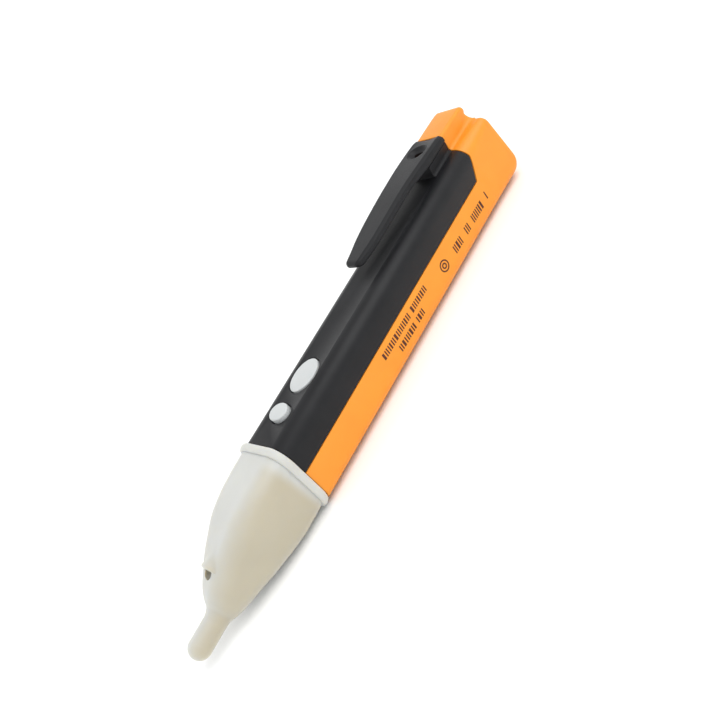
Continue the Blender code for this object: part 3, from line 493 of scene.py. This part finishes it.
def clear_lamp():
    surface = Surface("clear_lamp", 0.08)
    surface.shader.inputs["Transmission Weight"].default_value = 0.7
    surface.shader.inputs["IOR"].default_value = 1.5
    fog = surface.noise(1.0 * MM, detail=2.0)
    surface.colour(surface.blend(fog, (0.82, 0.85, 0.86), (0.93, 0.95, 0.95)))
    return surface.material


def red_lamp():
    surface = moulded_plastic("red_lamp", (0.6, 0.02, 0.015), 0.2, 0.5 * MM, 0.004 * MM, 0.08)
    surface.scatter(0.4, (1.0, 0.1, 0.05), 1.0 * MM)
    return surface.material


def lead_green():
    return moulded_plastic("lead_green", (0.04, 0.28, 0.08), 0.42, 0.3 * MM, 0.01 * MM, 0.08).material


def floor_surface():
    surface = Surface("pale_floor", 0.75, specular=0.2)
    cloud = surface.noise(60.0 * MM, detail=3.0)
    surface.colour(surface.blend(cloud, (0.965, 0.97, 0.97), (0.975, 0.98, 0.98)))
    surface.bump(surface.noise(0.8 * MM, detail=2.0), 0.01 * MM)
    return surface.material


SURFACES = {
    "orange_shell": orange_plastic(),
    "black_shell": black_plastic(),
    "key_plastic": key_plastic(),
    "milky_nose": milky_plastic(),
    "grey_frame": grey_frame(),
    "cell_jacket": cell_jacket(),
    "plated_steel": metal("plated_steel", (0.72, 0.72, 0.7), 0.28, (1.0, 6.0, 6.0)),
    "board_green": board_green(),
    "chip_black": chip_black(),
    "lamp_clear": clear_lamp(),
    "lamp_red": red_lamp(),
    "brass_rod": metal("brass_rod", (0.78, 0.56, 0.25), 0.25, (1.0, 6.0, 6.0)),
    "lead_green": lead_green(),
}


def dress_cad_nodes():
    """Every node that stays visible takes the procedural material of its slot."""
    for part in frame["record"]["subparts"]:
        data = frame["nodes"][part["node"]].data
        data.materials.clear()
        data.materials.append(SURFACES[part["material_slot"]])


# ---------------------------------------------------------------- rear housing


def cover_side_outline(clearance):
    """The cover's side view in (x, z); clearance grows it into the housing's cut-out."""
    front = SHELL_FRONT_X + OVERCUT
    high = SPINE_TOP_Z + OVERCUT
    seam = SEAM_Z + GAP / 2 - clearance
    tail_x = COVER_TAIL_X - clearance
    chamfer_z = SEAM_Z + CHAMFER_HEIGHT - clearance / 2
    chamfer_x = COVER_TAIL_X + CHAMFER_LENGTH - clearance
    return [(front, seam), (front, high), (tail_x, high), (tail_x, chamfer_z), (chamfer_x, seam)]


def side_prism(name, outline):
    reach = HALF_WIDTH + OVERCUT
    return skin(name, [[(x, side * reach, z) for x, z in outline] for side in (-1, 1)])


def shoulder_at(x):
    """Top edge radius and sideways flare of the body; both change between the cover and the tail."""
    share = min(1.0, max(0.0, (COVER_TAIL_X - x) / (COVER_TAIL_X - TAIL_X - TAIL_ROUNDING)))
    return TOP_RADIUS + (SHOULDER_RADIUS - TOP_RADIUS) * share, TAIL_FLARE * share


def spine_outline(x, top, half_width=SPINE_HALF_WIDTH, rounding=SPINE_ROUNDING):
    """Section of the raised spine at x: wider at the top than at its foot, whose fillet grows at the tail."""
    near_tail = max(0.0, 1 - (x - TAIL_X) / TAIL_FILLET_REACH)
    fillet_radius = SPINE_FILLET + (TAIL_FILLET - SPINE_FILLET) * near_tail ** 1.5
    shoulder_radius, flare = shoulder_at(x)
    shoulder_y = HALF_WIDTH + flare - shoulder_radius
    fillet_y = half_width - SPINE_HALF_WIDTH + SPINE_WAIST + fillet_radius
    reach = shoulder_radius + fillet_radius
    over = max(0.0, fillet_y - shoulder_y)
    fillet_z = TOP_Z - shoulder_radius + math.sqrt(reach ** 2 - over ** 2) + FACE_LIFT
    toe_angle = 270 - math.degrees(math.asin(over / reach))
    fillet = arc((fillet_y, fillet_z), fillet_radius, toe_angle, 180, 8)
    toe_y, toe_z = fillet[0]
    right = [(toe_y, toe_z - WALL / 2)] + fillet
    right += arc((half_width - rounding, top - rounding), rounding, -12, 90, 8)
    return right + [(-y, z) for y, z in reversed(right)]


def body_outline(inset, top_radius, flare=0.0):
    return rounded_outline(
        HALF_WIDTH + flare - inset, BACK_Z + inset, TOP_Z - inset, BOTTOM_RADIUS - inset, top_radius - inset)


def tail_chin(x):
    """How far the back curves up towards the tail's end."""
    share = max(0.0, 1 - (x - TAIL_X) / TAIL_CHIN_REACH)
    return TAIL_CHIN_HEIGHT * (1 - math.sqrt(1 - share ** 2))


def housing_rings():
    """Outer skin from the rounded tail end to the front edge."""
    places = [(TAIL_X + TAIL_ROUNDING * (1 - math.cos(math.pi / 2 * i / 6)),
               TAIL_ROUNDING * (1 - math.sin(math.pi / 2 * i / 6))) for i in range(7)]
    places += [(x, 0.0) for x in stations(TAIL_X + TAIL_ROUNDING, COVER_TAIL_X, 0.7 * MM)[1:]]
    rings = []
    for x, inset in places:
        radius, flare = shoulder_at(x)
        chin = tail_chin(x)
        rings.append(across_x(x, rounded_outline(
            HALF_WIDTH + flare - inset, BACK_Z + inset + chin, TOP_Z - inset,
            BOTTOM_RADIUS - inset + chin / 2, radius - inset)))
    rings.append(leaning(SHELL_FRONT_X, body_outline(0.0, TOP_RADIUS)))
    return rings


def spine_rings():
    """The spine falls gently towards the tail and rolls over its end."""
    # place along the pen, top, how far the sides are drawn in
    knots = [
        (TAIL_X + 0.02 * MM, SPINE_TOP_Z - 1.6 * MM, 0.8 * MM),
        (TAIL_X + 0.25 * MM, SPINE_TOP_Z - 0.9 * MM, 0.35 * MM),
        (TAIL_X + 0.8 * MM, SPINE_TOP_Z - 0.42 * MM, 0.08 * MM),
        (TAIL_X + 2.0 * MM, SPINE_TOP_Z - 0.24 * MM, 0.0),
        (TAIL_X + 6.0 * MM, SPINE_TOP_Z - 0.1 * MM, 0.0),
        (COVER_TAIL_X - GAP, SPINE_TOP_Z, 0.0),
    ]
    places = [knots[0][0] + i * 0.12 * MM for i in range(12)]
    places += stations(TAIL_X + 2.0 * MM, knots[-1][0], 1.0 * MM)
    rings = []
    for x in places:
        top, inset = smooth_curve(knots, x)
        rings.append(across_x(x, spine_outline(x, top, SPINE_HALF_WIDTH - inset)))
    return rings


def make_rear_housing():
    housing = skin("rear_housing_shell", housing_rings())
    inner = rounded_outline(CAVITY_HALF, CAVITY_FLOOR, CAVITY_ROOF, BOTTOM_RADIUS - WALL, TOP_RADIUS - WALL)
    cavity = [across_x(x, inner) for x in (TAIL_X + TAIL_WALL, SHELL_FRONT_X + OVERCUT)]
    boolean(housing, skin("cavity_tool", cavity), "DIFFERENCE")
    boolean(housing, side_prism("cover_space_tool", cover_side_outline(GAP)), "DIFFERENCE")
    boolean(housing, skin("spine_tool", spine_rings()), "UNION")
    boolean(housing, box(
        "tongue_tool",
        (COVER_TAIL_X - 3 * GAP, -TONGUE_HALF_WIDTH, TOP_Z + GAP),
        (COVER_TAIL_X + TONGUE_LENGTH, TONGUE_HALF_WIDTH, SEAT_TOP_Z + TONGUE_RISE)), "UNION")
    settle(housing, EDGE)
    return show(housing, "rear_housing_body", "orange_shell", SURFACES["orange_shell"], "rear_housing")


# ---------------------------------------------------------------- front cover


def cover_section():
    """Inverted U with inner lips that line it up with the housing's walls."""
    low = SEAM_Z + GAP / 2
    lip_outer = CAVITY_HALF - GAP
    lip_inner = lip_outer - WALL * 2 / 3
    lip_bottom = SEAM_Z - 2 * WALL
    shelf = low + WALL * 2 / 3
    centre = (HALF_WIDTH - TOP_RADIUS, TOP_Z - TOP_RADIUS)
    right = [(CAVITY_HALF, shelf), (lip_inner, shelf), (lip_inner, lip_bottom), (lip_outer, lip_bottom)]
    right += [(lip_outer, low), (HALF_WIDTH, low)]
    right += arc(centre, TOP_RADIUS, 0, 90, 16)
    inner = arc(centre, TOP_RADIUS - WALL, 90, 0, 10)
    return right + [(-y, z) for y, z in reversed(right)] + [(-y, z) for y, z in reversed(inner)] + inner


def key_limits(node):
    """Centre, half sizes and top of a key's visible oval, from its CAD node."""
    low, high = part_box(node)
    return (low.x + high.x) / 2, (high.x - low.x) / 2 - KEY_FLANGE, (high.y - low.y) / 2 - KEY_FLANGE, high.z


def key_well(node):
    """Cutter for a key's hole, with a shallow flared rim at the surface."""
    x, half_length, half_width, _ = key_limits(node)
    # height, clearance round the key
    profile = [
        (CAVITY_ROOF - OVERCUT / 4, 0.22 * MM), (TOP_Z - 0.5 * MM, 0.22 * MM), (TOP_Z - 0.22 * MM, 0.3 * MM),
        (TOP_Z - 0.06 * MM, 0.5 * MM), (TOP_Z + 0.03 * MM, 0.75 * MM), (TOP_Z + OVERCUT, 0.75 * MM)]
    rings = []
    for z, clearance in profile:
        rings.append(across_z(z, ellipse(x, 0.0, half_length + clearance, half_width + clearance, 96)))
    return skin(node + "_well_tool", rings)


def make_front_cover():
    section = cover_section()
    rings = [across_x(COVER_TAIL_X - OVERCUT, section), leaning(SHELL_FRONT_X, section)]
    cover = skin("front_cover_shell", rings)
    limit = cover_side_outline(0.0)
    low = SEAM_Z - 3 * WALL
    limit = [(limit[0][0], low)] + limit[1:] + [(limit[-1][0], low)]
    boolean(cover, side_prism("side_limit_tool", limit), "INTERSECT")
    outline = spine_outline(COVER_TAIL_X, SEAT_TOP_Z, rounding=0.4 * MM)
    seat = [across_x(x, outline) for x in (COVER_TAIL_X, COVER_TAIL_X + SEAT_LENGTH)]
    boolean(cover, skin("seat_tool", seat), "UNION")
    boolean(cover, box(
        "channel_tool",
        (COVER_TAIL_X - OVERCUT, -TONGUE_HALF_WIDTH - GAP, TOP_Z),
        (COVER_TAIL_X + TONGUE_LENGTH + GAP, TONGUE_HALF_WIDTH + GAP, SEAT_TOP_Z + OVERCUT)), "DIFFERENCE")
    boolean(cover, key_well("power_button"), "DIFFERENCE")
    boolean(cover, key_well("torch_button"), "DIFFERENCE")
    settle(cover, EDGE)
    return show(cover, "pen_core", "black_shell", SURFACES["black_shell"], "front_cover")


# ---------------------------------------------------------------- pocket clip


# share of the length, half width, underside, top
CLIP_KNOTS = [
    (0.0, 5.6 * MM, CLIP_UNDER_Z, CLIP_TOP_Z + 0.1 * MM),
    (0.03, 5.8 * MM, CLIP_UNDER_Z, CLIP_TOP_Z + 0.35 * MM),
    (0.1, 5.85 * MM, CLIP_UNDER_Z, CLIP_TOP_Z + 0.55 * MM),
    (0.2, 5.8 * MM, CLIP_UNDER_Z, CLIP_TOP_Z + 0.75 * MM),
    (0.3, 5.6 * MM, CLIP_UNDER_Z + 0.35 * MM, CLIP_TOP_Z + 0.9 * MM),
    (0.42, 5.3 * MM, CLIP_UNDER_Z + 0.7 * MM, CLIP_TOP_Z + 0.95 * MM),
    (0.66, 5.0 * MM, CLIP_UNDER_Z + 0.4 * MM, CLIP_TOP_Z + 0.6 * MM),
    (0.8, 4.6 * MM, CLIP_UNDER_Z + 0.1 * MM, CLIP_TOP_Z + 0.25 * MM),
    (0.91, 3.75 * MM, CLIP_UNDER_Z - 0.15 * MM, CLIP_TOP_Z - 0.05 * MM),
    (1.0, 2.9 * MM, CLIP_UNDER_Z - 0.25 * MM, CLIP_TOP_Z - 0.25 * MM),
]


def clip_section(half, low, high, bevel, points=41):
    """Blade section: eased lower edges, broad chamfers above, and a top grid fine enough to dish."""
    ease = 0.35 * MM
    outline = arc((half - ease, low + ease), ease, -90, 0, 4)
    outline += [(half, high - 0.75 * bevel), (half - 0.1 * bevel, high - 0.5 * bevel)]
    outline += [(half - 0.8 * bevel, high - 0.07 * bevel)]
    inner = half - bevel
    for i in range(points):
        outline.append((inner * (1 - 2 * i / (points - 1)), high))
    outline += [(0.8 * bevel - half, high - 0.07 * bevel)]
    outline += [(0.1 * bevel - half, high - 0.5 * bevel), (-half, high - 0.75 * bevel)]
    outline += arc((ease - half, low + ease), ease, 180, 270, 4)
    return outline


def clip_dish(x, y):
    """Depth of the thumb-nail recess round the slot, and of the shallow sag at the root's rear edge."""
    reach = math.hypot((x - CLIP_SLOT_X) / (2.8 * MM), y / (3.4 * MM))
    bowl = 1.5 * MM * max(0.0, 1 - reach ** 2) ** 0.8 if reach < 1 else 0.0
    rear = max(0.0, 1 - (x - COVER_TAIL_X) / (6.0 * MM))
    sag = 0.4 * MM * rear * max(0.0, 1 - (y / (4.4 * MM)) ** 2)
    return max(bowl, sag)


def clip_rings():
    """The blade swells from its root, narrows along the pen and ends in a rounded tip."""
    length = clip_high.x - clip_low.x
    places = stations(0.0, 9.0 * MM, 0.22 * MM) + stations(9.0 * MM, length - CLIP_CORNER, 0.8 * MM)[1:]
    places += [length - CLIP_CORNER + CLIP_CORNER * math.sin(math.pi / 2 * i / 12) for i in range(1, 13)]
    rings = []
    for place in places:
        half, low, high = smooth_curve(CLIP_KNOTS, place / length)
        over = max(0.0, place - (length - CLIP_CORNER)) / CLIP_CORNER
        half -= 0.9 * CLIP_CORNER * (1 - math.sqrt(max(0.0, 1 - over ** 2)))
        thin = 0.3 * over ** 3 * (high - low)
        x = clip_low.x + place
        bevel = min(CLIP_BEVEL, 0.3 * half)
        ring = []
        for y, z in clip_section(half, low + thin, high - thin, bevel):
            if z > high - thin - 0.1 * bevel:
                z -= clip_dish(x, y)
            ring.append((x, y, z))
        rings.append(ring)
    return rings


def make_pocket_clip():
    clip = skin("pocket_clip_blade", clip_rings())
    slot = ellipse(CLIP_SLOT_X, 0.0, *CLIP_SLOT_HALF, 48)
    slot_rings = [across_z(z, slot) for z in (TOP_Z, clip_high.z + OVERCUT)]
    boolean(clip, skin("slot_tool", slot_rings), "DIFFERENCE")
    settle(clip)
    return show(clip, "clip_body", "black_shell", SURFACES["black_shell"], "pocket_clip")


# ---------------------------------------------------------------- keys


def make_key(node, body):
    """A key cap: a flange under the cover, straight sides, a rounded rim and a low dome."""
    x, half_length, half_width, top = key_limits(node)
    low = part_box(node)[0].z
    flange_top = low + 0.6 * MM
    sides = [(low, KEY_FLANGE), (flange_top, KEY_FLANGE), (flange_top, 0.0)]
    for i in range(7):
        angle = math.pi / 2 * i / 6
        sides.append((top - KEY_DOME - KEY_RIM + KEY_RIM * math.sin(angle), -KEY_RIM * (1 - math.cos(angle))))
    rings = [across_z(z, ellipse(x, 0.0, half_length + grow, half_width + grow, 96)) for z, grow in sides]
    for i in range(1, 9):
        share = 1 - i / 8.5
        oval = ellipse(x, 0.0, (half_length - KEY_RIM) * share, (half_width - KEY_RIM) * share, 96)
        rings.append(across_z(top - KEY_DOME * share ** 2, oval))
    key = skin(node + "_cap", rings)
    key.data.shade_smooth()
    key.data.set_sharp_from_angle(angle=math.radians(50))
    return show(key, body, "key_plastic", SURFACES["key_plastic"], node)


# ---------------------------------------------------------------- nose cone


# place along the pen, half width, half height, centre height, corner roundness
NOSE_KNOTS = [
    (COLLAR_FRONT_X, 9.7 * MM, 9.8 * MM, 10.6 * MM, 0.52),
    (36.0 * MM, 9.66 * MM, 9.85 * MM, 10.5 * MM, 0.53),
    (40.0 * MM, 9.6 * MM, 9.8 * MM, 10.35 * MM, 0.54),
    (44.0 * MM, 9.3 * MM, 9.5 * MM, 10.25 * MM, 0.56),
    (48.0 * MM, 8.8 * MM, 9.0 * MM, 10.05 * MM, 0.59),
    (52.0 * MM, 8.0 * MM, 8.2 * MM, 9.55 * MM, 0.63),
    (56.0 * MM, 7.1 * MM, 7.3 * MM, 9.05 * MM, 0.7),
    (60.0 * MM, 6.05 * MM, 6.25 * MM, 8.25 * MM, 0.8),
    (63.0 * MM, 5.1 * MM, 5.3 * MM, 7.6 * MM, 0.88),
    (65.0 * MM, 4.1 * MM, 4.3 * MM, 7.0 * MM, 0.95),
    (66.6 * MM, 3.1 * MM, 3.2 * MM, 6.4 * MM, 0.99),
    (68.5 * MM, FINGER_RADIUS, FINGER_RADIUS, FINGER_HEIGHT, 1.0),
    (TIP_X - FINGER_RADIUS, FINGER_RADIUS, FINGER_RADIUS, FINGER_HEIGHT, 1.0),
]


def nose_outline(half_width, half_height, centre, roundness, steps=16, splits=12):
    """Round-cornered section; its straight stretches are split for the nozzle's blend."""
    radius = min(half_width, half_height) * roundness
    flat_y = half_width - radius
    flat_z = half_height - radius
    corners = [(flat_y, -flat_z), (flat_y, flat_z), (-flat_y, flat_z), (-flat_y, -flat_z)]
    turns = [arc((y, centre + z), radius, 90 * i - 90, 90 * i, steps) for i, (y, z) in enumerate(corners)]
    outline = []
    for turn, following in zip(turns, turns[1:] + turns[:1]):
        (y0, z0), (y1, z1) = turn[-1], following[0]
        outline += turn
        outline += [(y0 + (y1 - y0) * i / splits, z0 + (z1 - z0) * i / splits) for i in range(1, splits)]
    return outline


def hood_height(x, y):
    """Top of the torch nozzle's rounded hood over a point of the nose, or None beyond its end."""
    over = max(0.0, x - (NOZZLE_END_X - HOOD_LIP))
    taper = 1.0 - 0.06 * max(0.0, NOZZLE_END_X - x) / MM
    radius = (NOZZLE_RADIUS + HOOD_EXTRA_RADIUS) * taper - HOOD_LIP
    radius += math.sqrt(max(0.0, HOOD_LIP ** 2 - over ** 2))
    if x > NOZZLE_END_X or abs(y) >= radius:
        return None
    return NOZZLE_HEIGHT + math.sqrt(radius ** 2 - y ** 2)


def with_hood(point):
    """Lift a point of the nose's top onto the nozzle's hood, with a smooth fillet round it."""
    x, y, z = point
    if z < FINGER_HEIGHT + FINGER_RADIUS or not NOZZLE_END_X - 9 * MM < x <= NOZZLE_END_X:
        return point
    hood = hood_height(x, y)
    if hood is None:
        return point
    gap = hood - z
    return x, y, z + 0.5 * (gap + math.sqrt(gap ** 2 + HOOD_BLEND ** 2)) - 0.1 * HOOD_BLEND


def nose_body_rings():
    places = stations(COLLAR_FRONT_X, NOZZLE_END_X - 1.2 * MM, 0.7 * MM)
    places += stations(NOZZLE_END_X - 1.2 * MM, NOZZLE_END_X, 0.08 * MM)[1:]
    places += [NOZZLE_END_X + 0.02 * MM]
    places += stations(NOZZLE_END_X + 0.3 * MM, TIP_X - FINGER_RADIUS, 0.4 * MM)
    rings = []
    for x in places:
        half_width, half_height, centre, roundness = smooth_curve(NOSE_KNOTS, x)
        lean = COLLAR_LEAN * max(0.0, 1 - (x - COLLAR_FRONT_X) / (12.0 * MM))
        ring = leaning(x, nose_outline(half_width, half_height, centre, roundness), lean)
        rings.append([with_hood(point) for point in ring])
    for i in range(1, 13):
        angle = math.pi / 2 * i / 12.3
        radius = FINGER_RADIUS * math.cos(angle)
        x = TIP_X - FINGER_RADIUS + FINGER_RADIUS * math.sin(angle)
        rings.append(across_x(x, nose_outline(radius, radius, FINGER_HEIGHT, 1.0)))
    return rings


def collar_rings():
    """The skirt that plugs into the body, then the bead of the collar."""
    skirt_half = CAVITY_HALF - GAP
    half_height = (CAVITY_ROOF - CAVITY_FLOOR) / 2 - GAP
    skirt = nose_outline(skirt_half, half_height, MID_Z, (TOP_RADIUS - WALL) / half_height)
    rings = [across_x(nose_low.x, skirt), leaning(COLLAR_X, skirt)]
    outer = HALF_WIDTH + COLLAR_OVERHANG
    bead = COLLAR_THICKNESS / 2
    round_over = 0.75 * MM
    for i in range(13):
        angle = math.pi * i / 12
        x = COLLAR_X + bead - bead * math.cos(angle)
        inset = round_over * (1 - math.sin(angle) ** 0.8)
        half = outer - inset
        rings.append(leaning(x, nose_outline(half, half, MID_Z, (COLLAR_RADIUS - inset) / half)))
    return rings


def nose_hollow_rings():
    """The nose's inside; its roof drops beyond the torch lamp, clear of the nozzle's mouth."""
    inner_half = CAVITY_HALF - GAP - NOSE_WALL
    entry = nose_outline(inner_half, inner_half, MID_Z, 0.4)
    rings = [across_x(nose_low.x - OVERCUT, entry), across_x(COLLAR_FRONT_X - 1.5 * MM, entry)]
    lamp_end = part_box("torch_lamp")[1].x
    for x in stations(COLLAR_FRONT_X, NOSE_KNOTS[9][0], 1.0 * MM):
        half_width, half_height, centre, roundness = smooth_curve(NOSE_KNOTS, x)
        drop = min(1.0, max(0.0, (x - lamp_end) / MM)) * 1.3 * MM
        rings.append(across_x(x, nose_outline(
            half_width - NOSE_WALL, half_height - NOSE_WALL - drop, centre - drop, roundness)))
    return rings


def make_nose_cone():
    nose = skin("nose_cone_shell", collar_rings() + nose_body_rings())
    boolean(nose, skin("hollow_tool", nose_hollow_rings()), "DIFFERENCE")
    bore_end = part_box("sensor_rod")[1].x + 0.8 * MM
    bore = [(60.0 * MM, FINGER_BORE_RADIUS), (bore_end, FINGER_BORE_RADIUS)]
    boolean(nose, lying_cylinder("finger_bore_tool", 0.0, FINGER_HEIGHT, bore), "DIFFERENCE")
    mouth = [(NOZZLE_END_X - MOUTH_DEPTH, NOZZLE_BORE_RADIUS), (NOZZLE_END_X, NOZZLE_BORE_RADIUS)]
    for i in range(1, 8):
        angle = math.pi / 2 * i / 7.4
        mouth.append((NOZZLE_END_X + MOUTH_SCOOP * math.sin(angle), NOZZLE_BORE_RADIUS * math.cos(angle)))
    boolean(nose, lying_cylinder("nozzle_bore_tool", 0.0, NOZZLE_HEIGHT, mouth), "DIFFERENCE")
    settle(nose)
    nose.data.set_sharp_from_angle(angle=math.radians(48))
    return show(nose, "pen_core", "milky_nose", SURFACES["milky_nose"], "nose_cone")


# ---------------------------------------------------------------- printed marks


# start along the pen (None follows the word before), number of blocks, height of their foot, block height;
# lengths in millimetres
PRINT_WORDS = [
    (-61.0, 1, 5.7, 2.3),
    (-58.0, 4, 5.4, 2.3),
    (-50.2, 2, 5.4, 2.3),
    (-45.6, 3, 5.4, 2.3),
    (-27.5, 5, 7.9, 1.8),
    (None, 9, 7.9, 1.8),
    (-22.5, 3, 4.8, 1.8),
    (None, 6, 4.8, 1.8),
]
# outer and inner radius of the symbol's two rings
PRINT_RINGS = [(1.7 * MM, 1.3 * MM), (0.85 * MM, 0.45 * MM)]
PRINT_RINGS_X = -36.3 * MM
PRINT_RINGS_Z = 6.9 * MM


def add_ink_ring(mesh, outer_radius, inner_radius, steps=40):
    """A closed ring of ink round the symbol's centre, a hair proud of the plastic."""
    sunk, proud = HALF_WIDTH - PRINT_SUNK, HALF_WIDTH + PRINT_PROUD
    bands = []
    corners = ((outer_radius, sunk), (outer_radius, proud), (inner_radius, proud), (inner_radius, sunk))
    for radius, y in corners:
        outline = ellipse(PRINT_RINGS_X, PRINT_RINGS_Z, radius, radius, steps)
        bands.append([mesh.verts.new((x, y, z)) for x, z in outline])
    for near, far in zip(bands, bands[1:] + bands[:1]):
        for i in range(steps):
            j = (i + 1) % steps
            mesh.faces.new((near[i], near[j], far[j], far[i]))


def add_ink_block(mesh, x, z, width, height):
    """A plain upright block of ink whose top leans back a little."""
    lean = 0.12 * height
    outline = [(x, z), (x + width, z), (x + width - lean, z + height), (x - lean, z + height)]
    sunk, proud = HALF_WIDTH - PRINT_SUNK, HALF_WIDTH + PRINT_PROUD
    back, front = [[mesh.verts.new((px, y, pz)) for px, pz in outline] for y in (sunk, proud)]
    mesh.faces.new(back)
    mesh.faces.new(list(reversed(front)))
    for i in range(4):
        j = (i + 1) % 4
        mesh.faces.new((back[i], back[j], front[j], front[i]))


def add_ink_word(mesh, x, count, base_z, height, draw):
    """A word-like run of plain blocks; none of them is a letter. Returns where it ends."""
    for _ in range(count):
        for width in draw.choice(((0.4, 0.4), (0.75,), (0.4,), (0.55, 0.4))):
            add_ink_block(mesh, x, base_z, width * MM, height)
            x += width * MM + BLOCK_GAP
        x += LETTER_GAP
    return x


def make_side_print():
    """Plain blocks and two rings where the real pen has lettering and a symbol."""
    draw = random.Random(7)
    mesh = bmesh.new()
    end = 0.0
    for start, count, base, height in PRINT_WORDS:
        x = end + WORD_GAP if start is None else start * MM
        end = add_ink_word(mesh, x, count, base * MM, height * MM, draw)
    for outer_radius, inner_radius in PRINT_RINGS:
        add_ink_ring(mesh, outer_radius, inner_radius)
    marks = finish_mesh("side_print", mesh)
    return show(marks, "rear_housing_body", "black_shell", print_ink())


# ---------------------------------------------------------------- stage, light, camera


def make_floor():
    """A pale dish: flat under the pen, curving up far behind it on every side."""
    flat_radii = (0.02, 0.04, 0.1, 0.3, 0.7)
    edge_radius = 0.6
    profile = [(radius, 0.0) for radius in flat_radii]
    for angle in (0.2, 0.4, 0.6, 0.8, 1.0, 1.2):
        profile.append((flat_radii[-1] + edge_radius * math.sin(angle), edge_radius * (1 - math.cos(angle))))
    mesh = bmesh.new()
    centre = mesh.verts.new((0.0, 0.0, 0.0))
    steps = 96
    loops = []
    for radius, height in profile:
        loops.append([mesh.verts.new((x, y, height)) for x, y in ellipse(0.0, 0.0, radius, radius, steps)])
    for i in range(steps):
        j = (i + 1) % steps
        mesh.faces.new((centre, loops[0][i], loops[0][j]))
        for near, far in zip(loops, loops[1:]):
            mesh.faces.new((near[i], far[i], far[j], near[j]))
    floor = finish_mesh("floor", mesh, floor_surface())
    floor.data.shade_smooth()


def add_sun(name, towards, strength, spread):
    """A broad, even studio light; towards is the direction it comes from."""
    data = bpy.data.lights.new(name, "SUN")
    data.energy = strength
    data.angle = math.radians(spread)
    lamp = bpy.data.objects.new(name, data)
    lamp.rotation_euler = Vector(towards).to_track_quat("Z", "Y").to_euler()
    lamp.location = Vector(towards)
    bpy.context.scene.collection.objects.link(lamp)


def make_light():
    world = bpy.data.worlds.new("studio")
    world.use_nodes = True
    world.node_tree.nodes["Background"].inputs["Color"].default_value = (1.0, 1.0, 1.0, 1.0)
    world.node_tree.nodes["Background"].inputs["Strength"].default_value = 0.95
    bpy.context.scene.world = world
    add_sun("top_light", (-0.33, 0.42, 0.85), 1.2, 45.0)
    add_sun("front_light", (0.5, 0.75, 0.43), 0.3, 60.0)


CAMERA_AIM = Vector((-4.5 * MM, 0.0, 8.6 * MM))
CAMERA_DISTANCE = 222.4 * MM
CAMERA_AZIMUTH = 67.9
CAMERA_ELEVATION = 30.0
CAMERA_ROLL = 47.9
CAMERA_LENS = 43.29


def make_camera():
    azimuth, elevation = math.radians(CAMERA_AZIMUTH), math.radians(CAMERA_ELEVATION)
    level_reach = math.cos(elevation)
    towards = Vector((level_reach * math.cos(azimuth), level_reach * math.sin(azimuth), math.sin(elevation)))
    data = bpy.data.cameras.new("camera")
    data.lens = CAMERA_LENS
    data.sensor_width = 36.0
    data.clip_start = 0.01
    camera = bpy.data.objects.new("camera", data)
    level = towards.to_track_quat("Z", "Y").to_matrix().to_4x4()
    roll = Matrix.Rotation(math.radians(-CAMERA_ROLL), 4, "Z")
    camera.matrix_world = Matrix.Translation(CAMERA_AIM + towards * CAMERA_DISTANCE) @ level @ roll
    bpy.context.scene.collection.objects.link(camera)
    bpy.context.scene.camera = camera


# ---------------------------------------------------------------- build

dress_cad_nodes()
make_rear_housing()
make_front_cover()
make_pocket_clip()
make_key("power_button", "power_key")
make_key("torch_button", "torch_key")
make_nose_cone()
make_side_print()
make_floor()
make_light()
make_camera()
bpy.context.scene.view_settings.view_transform = "Standard"
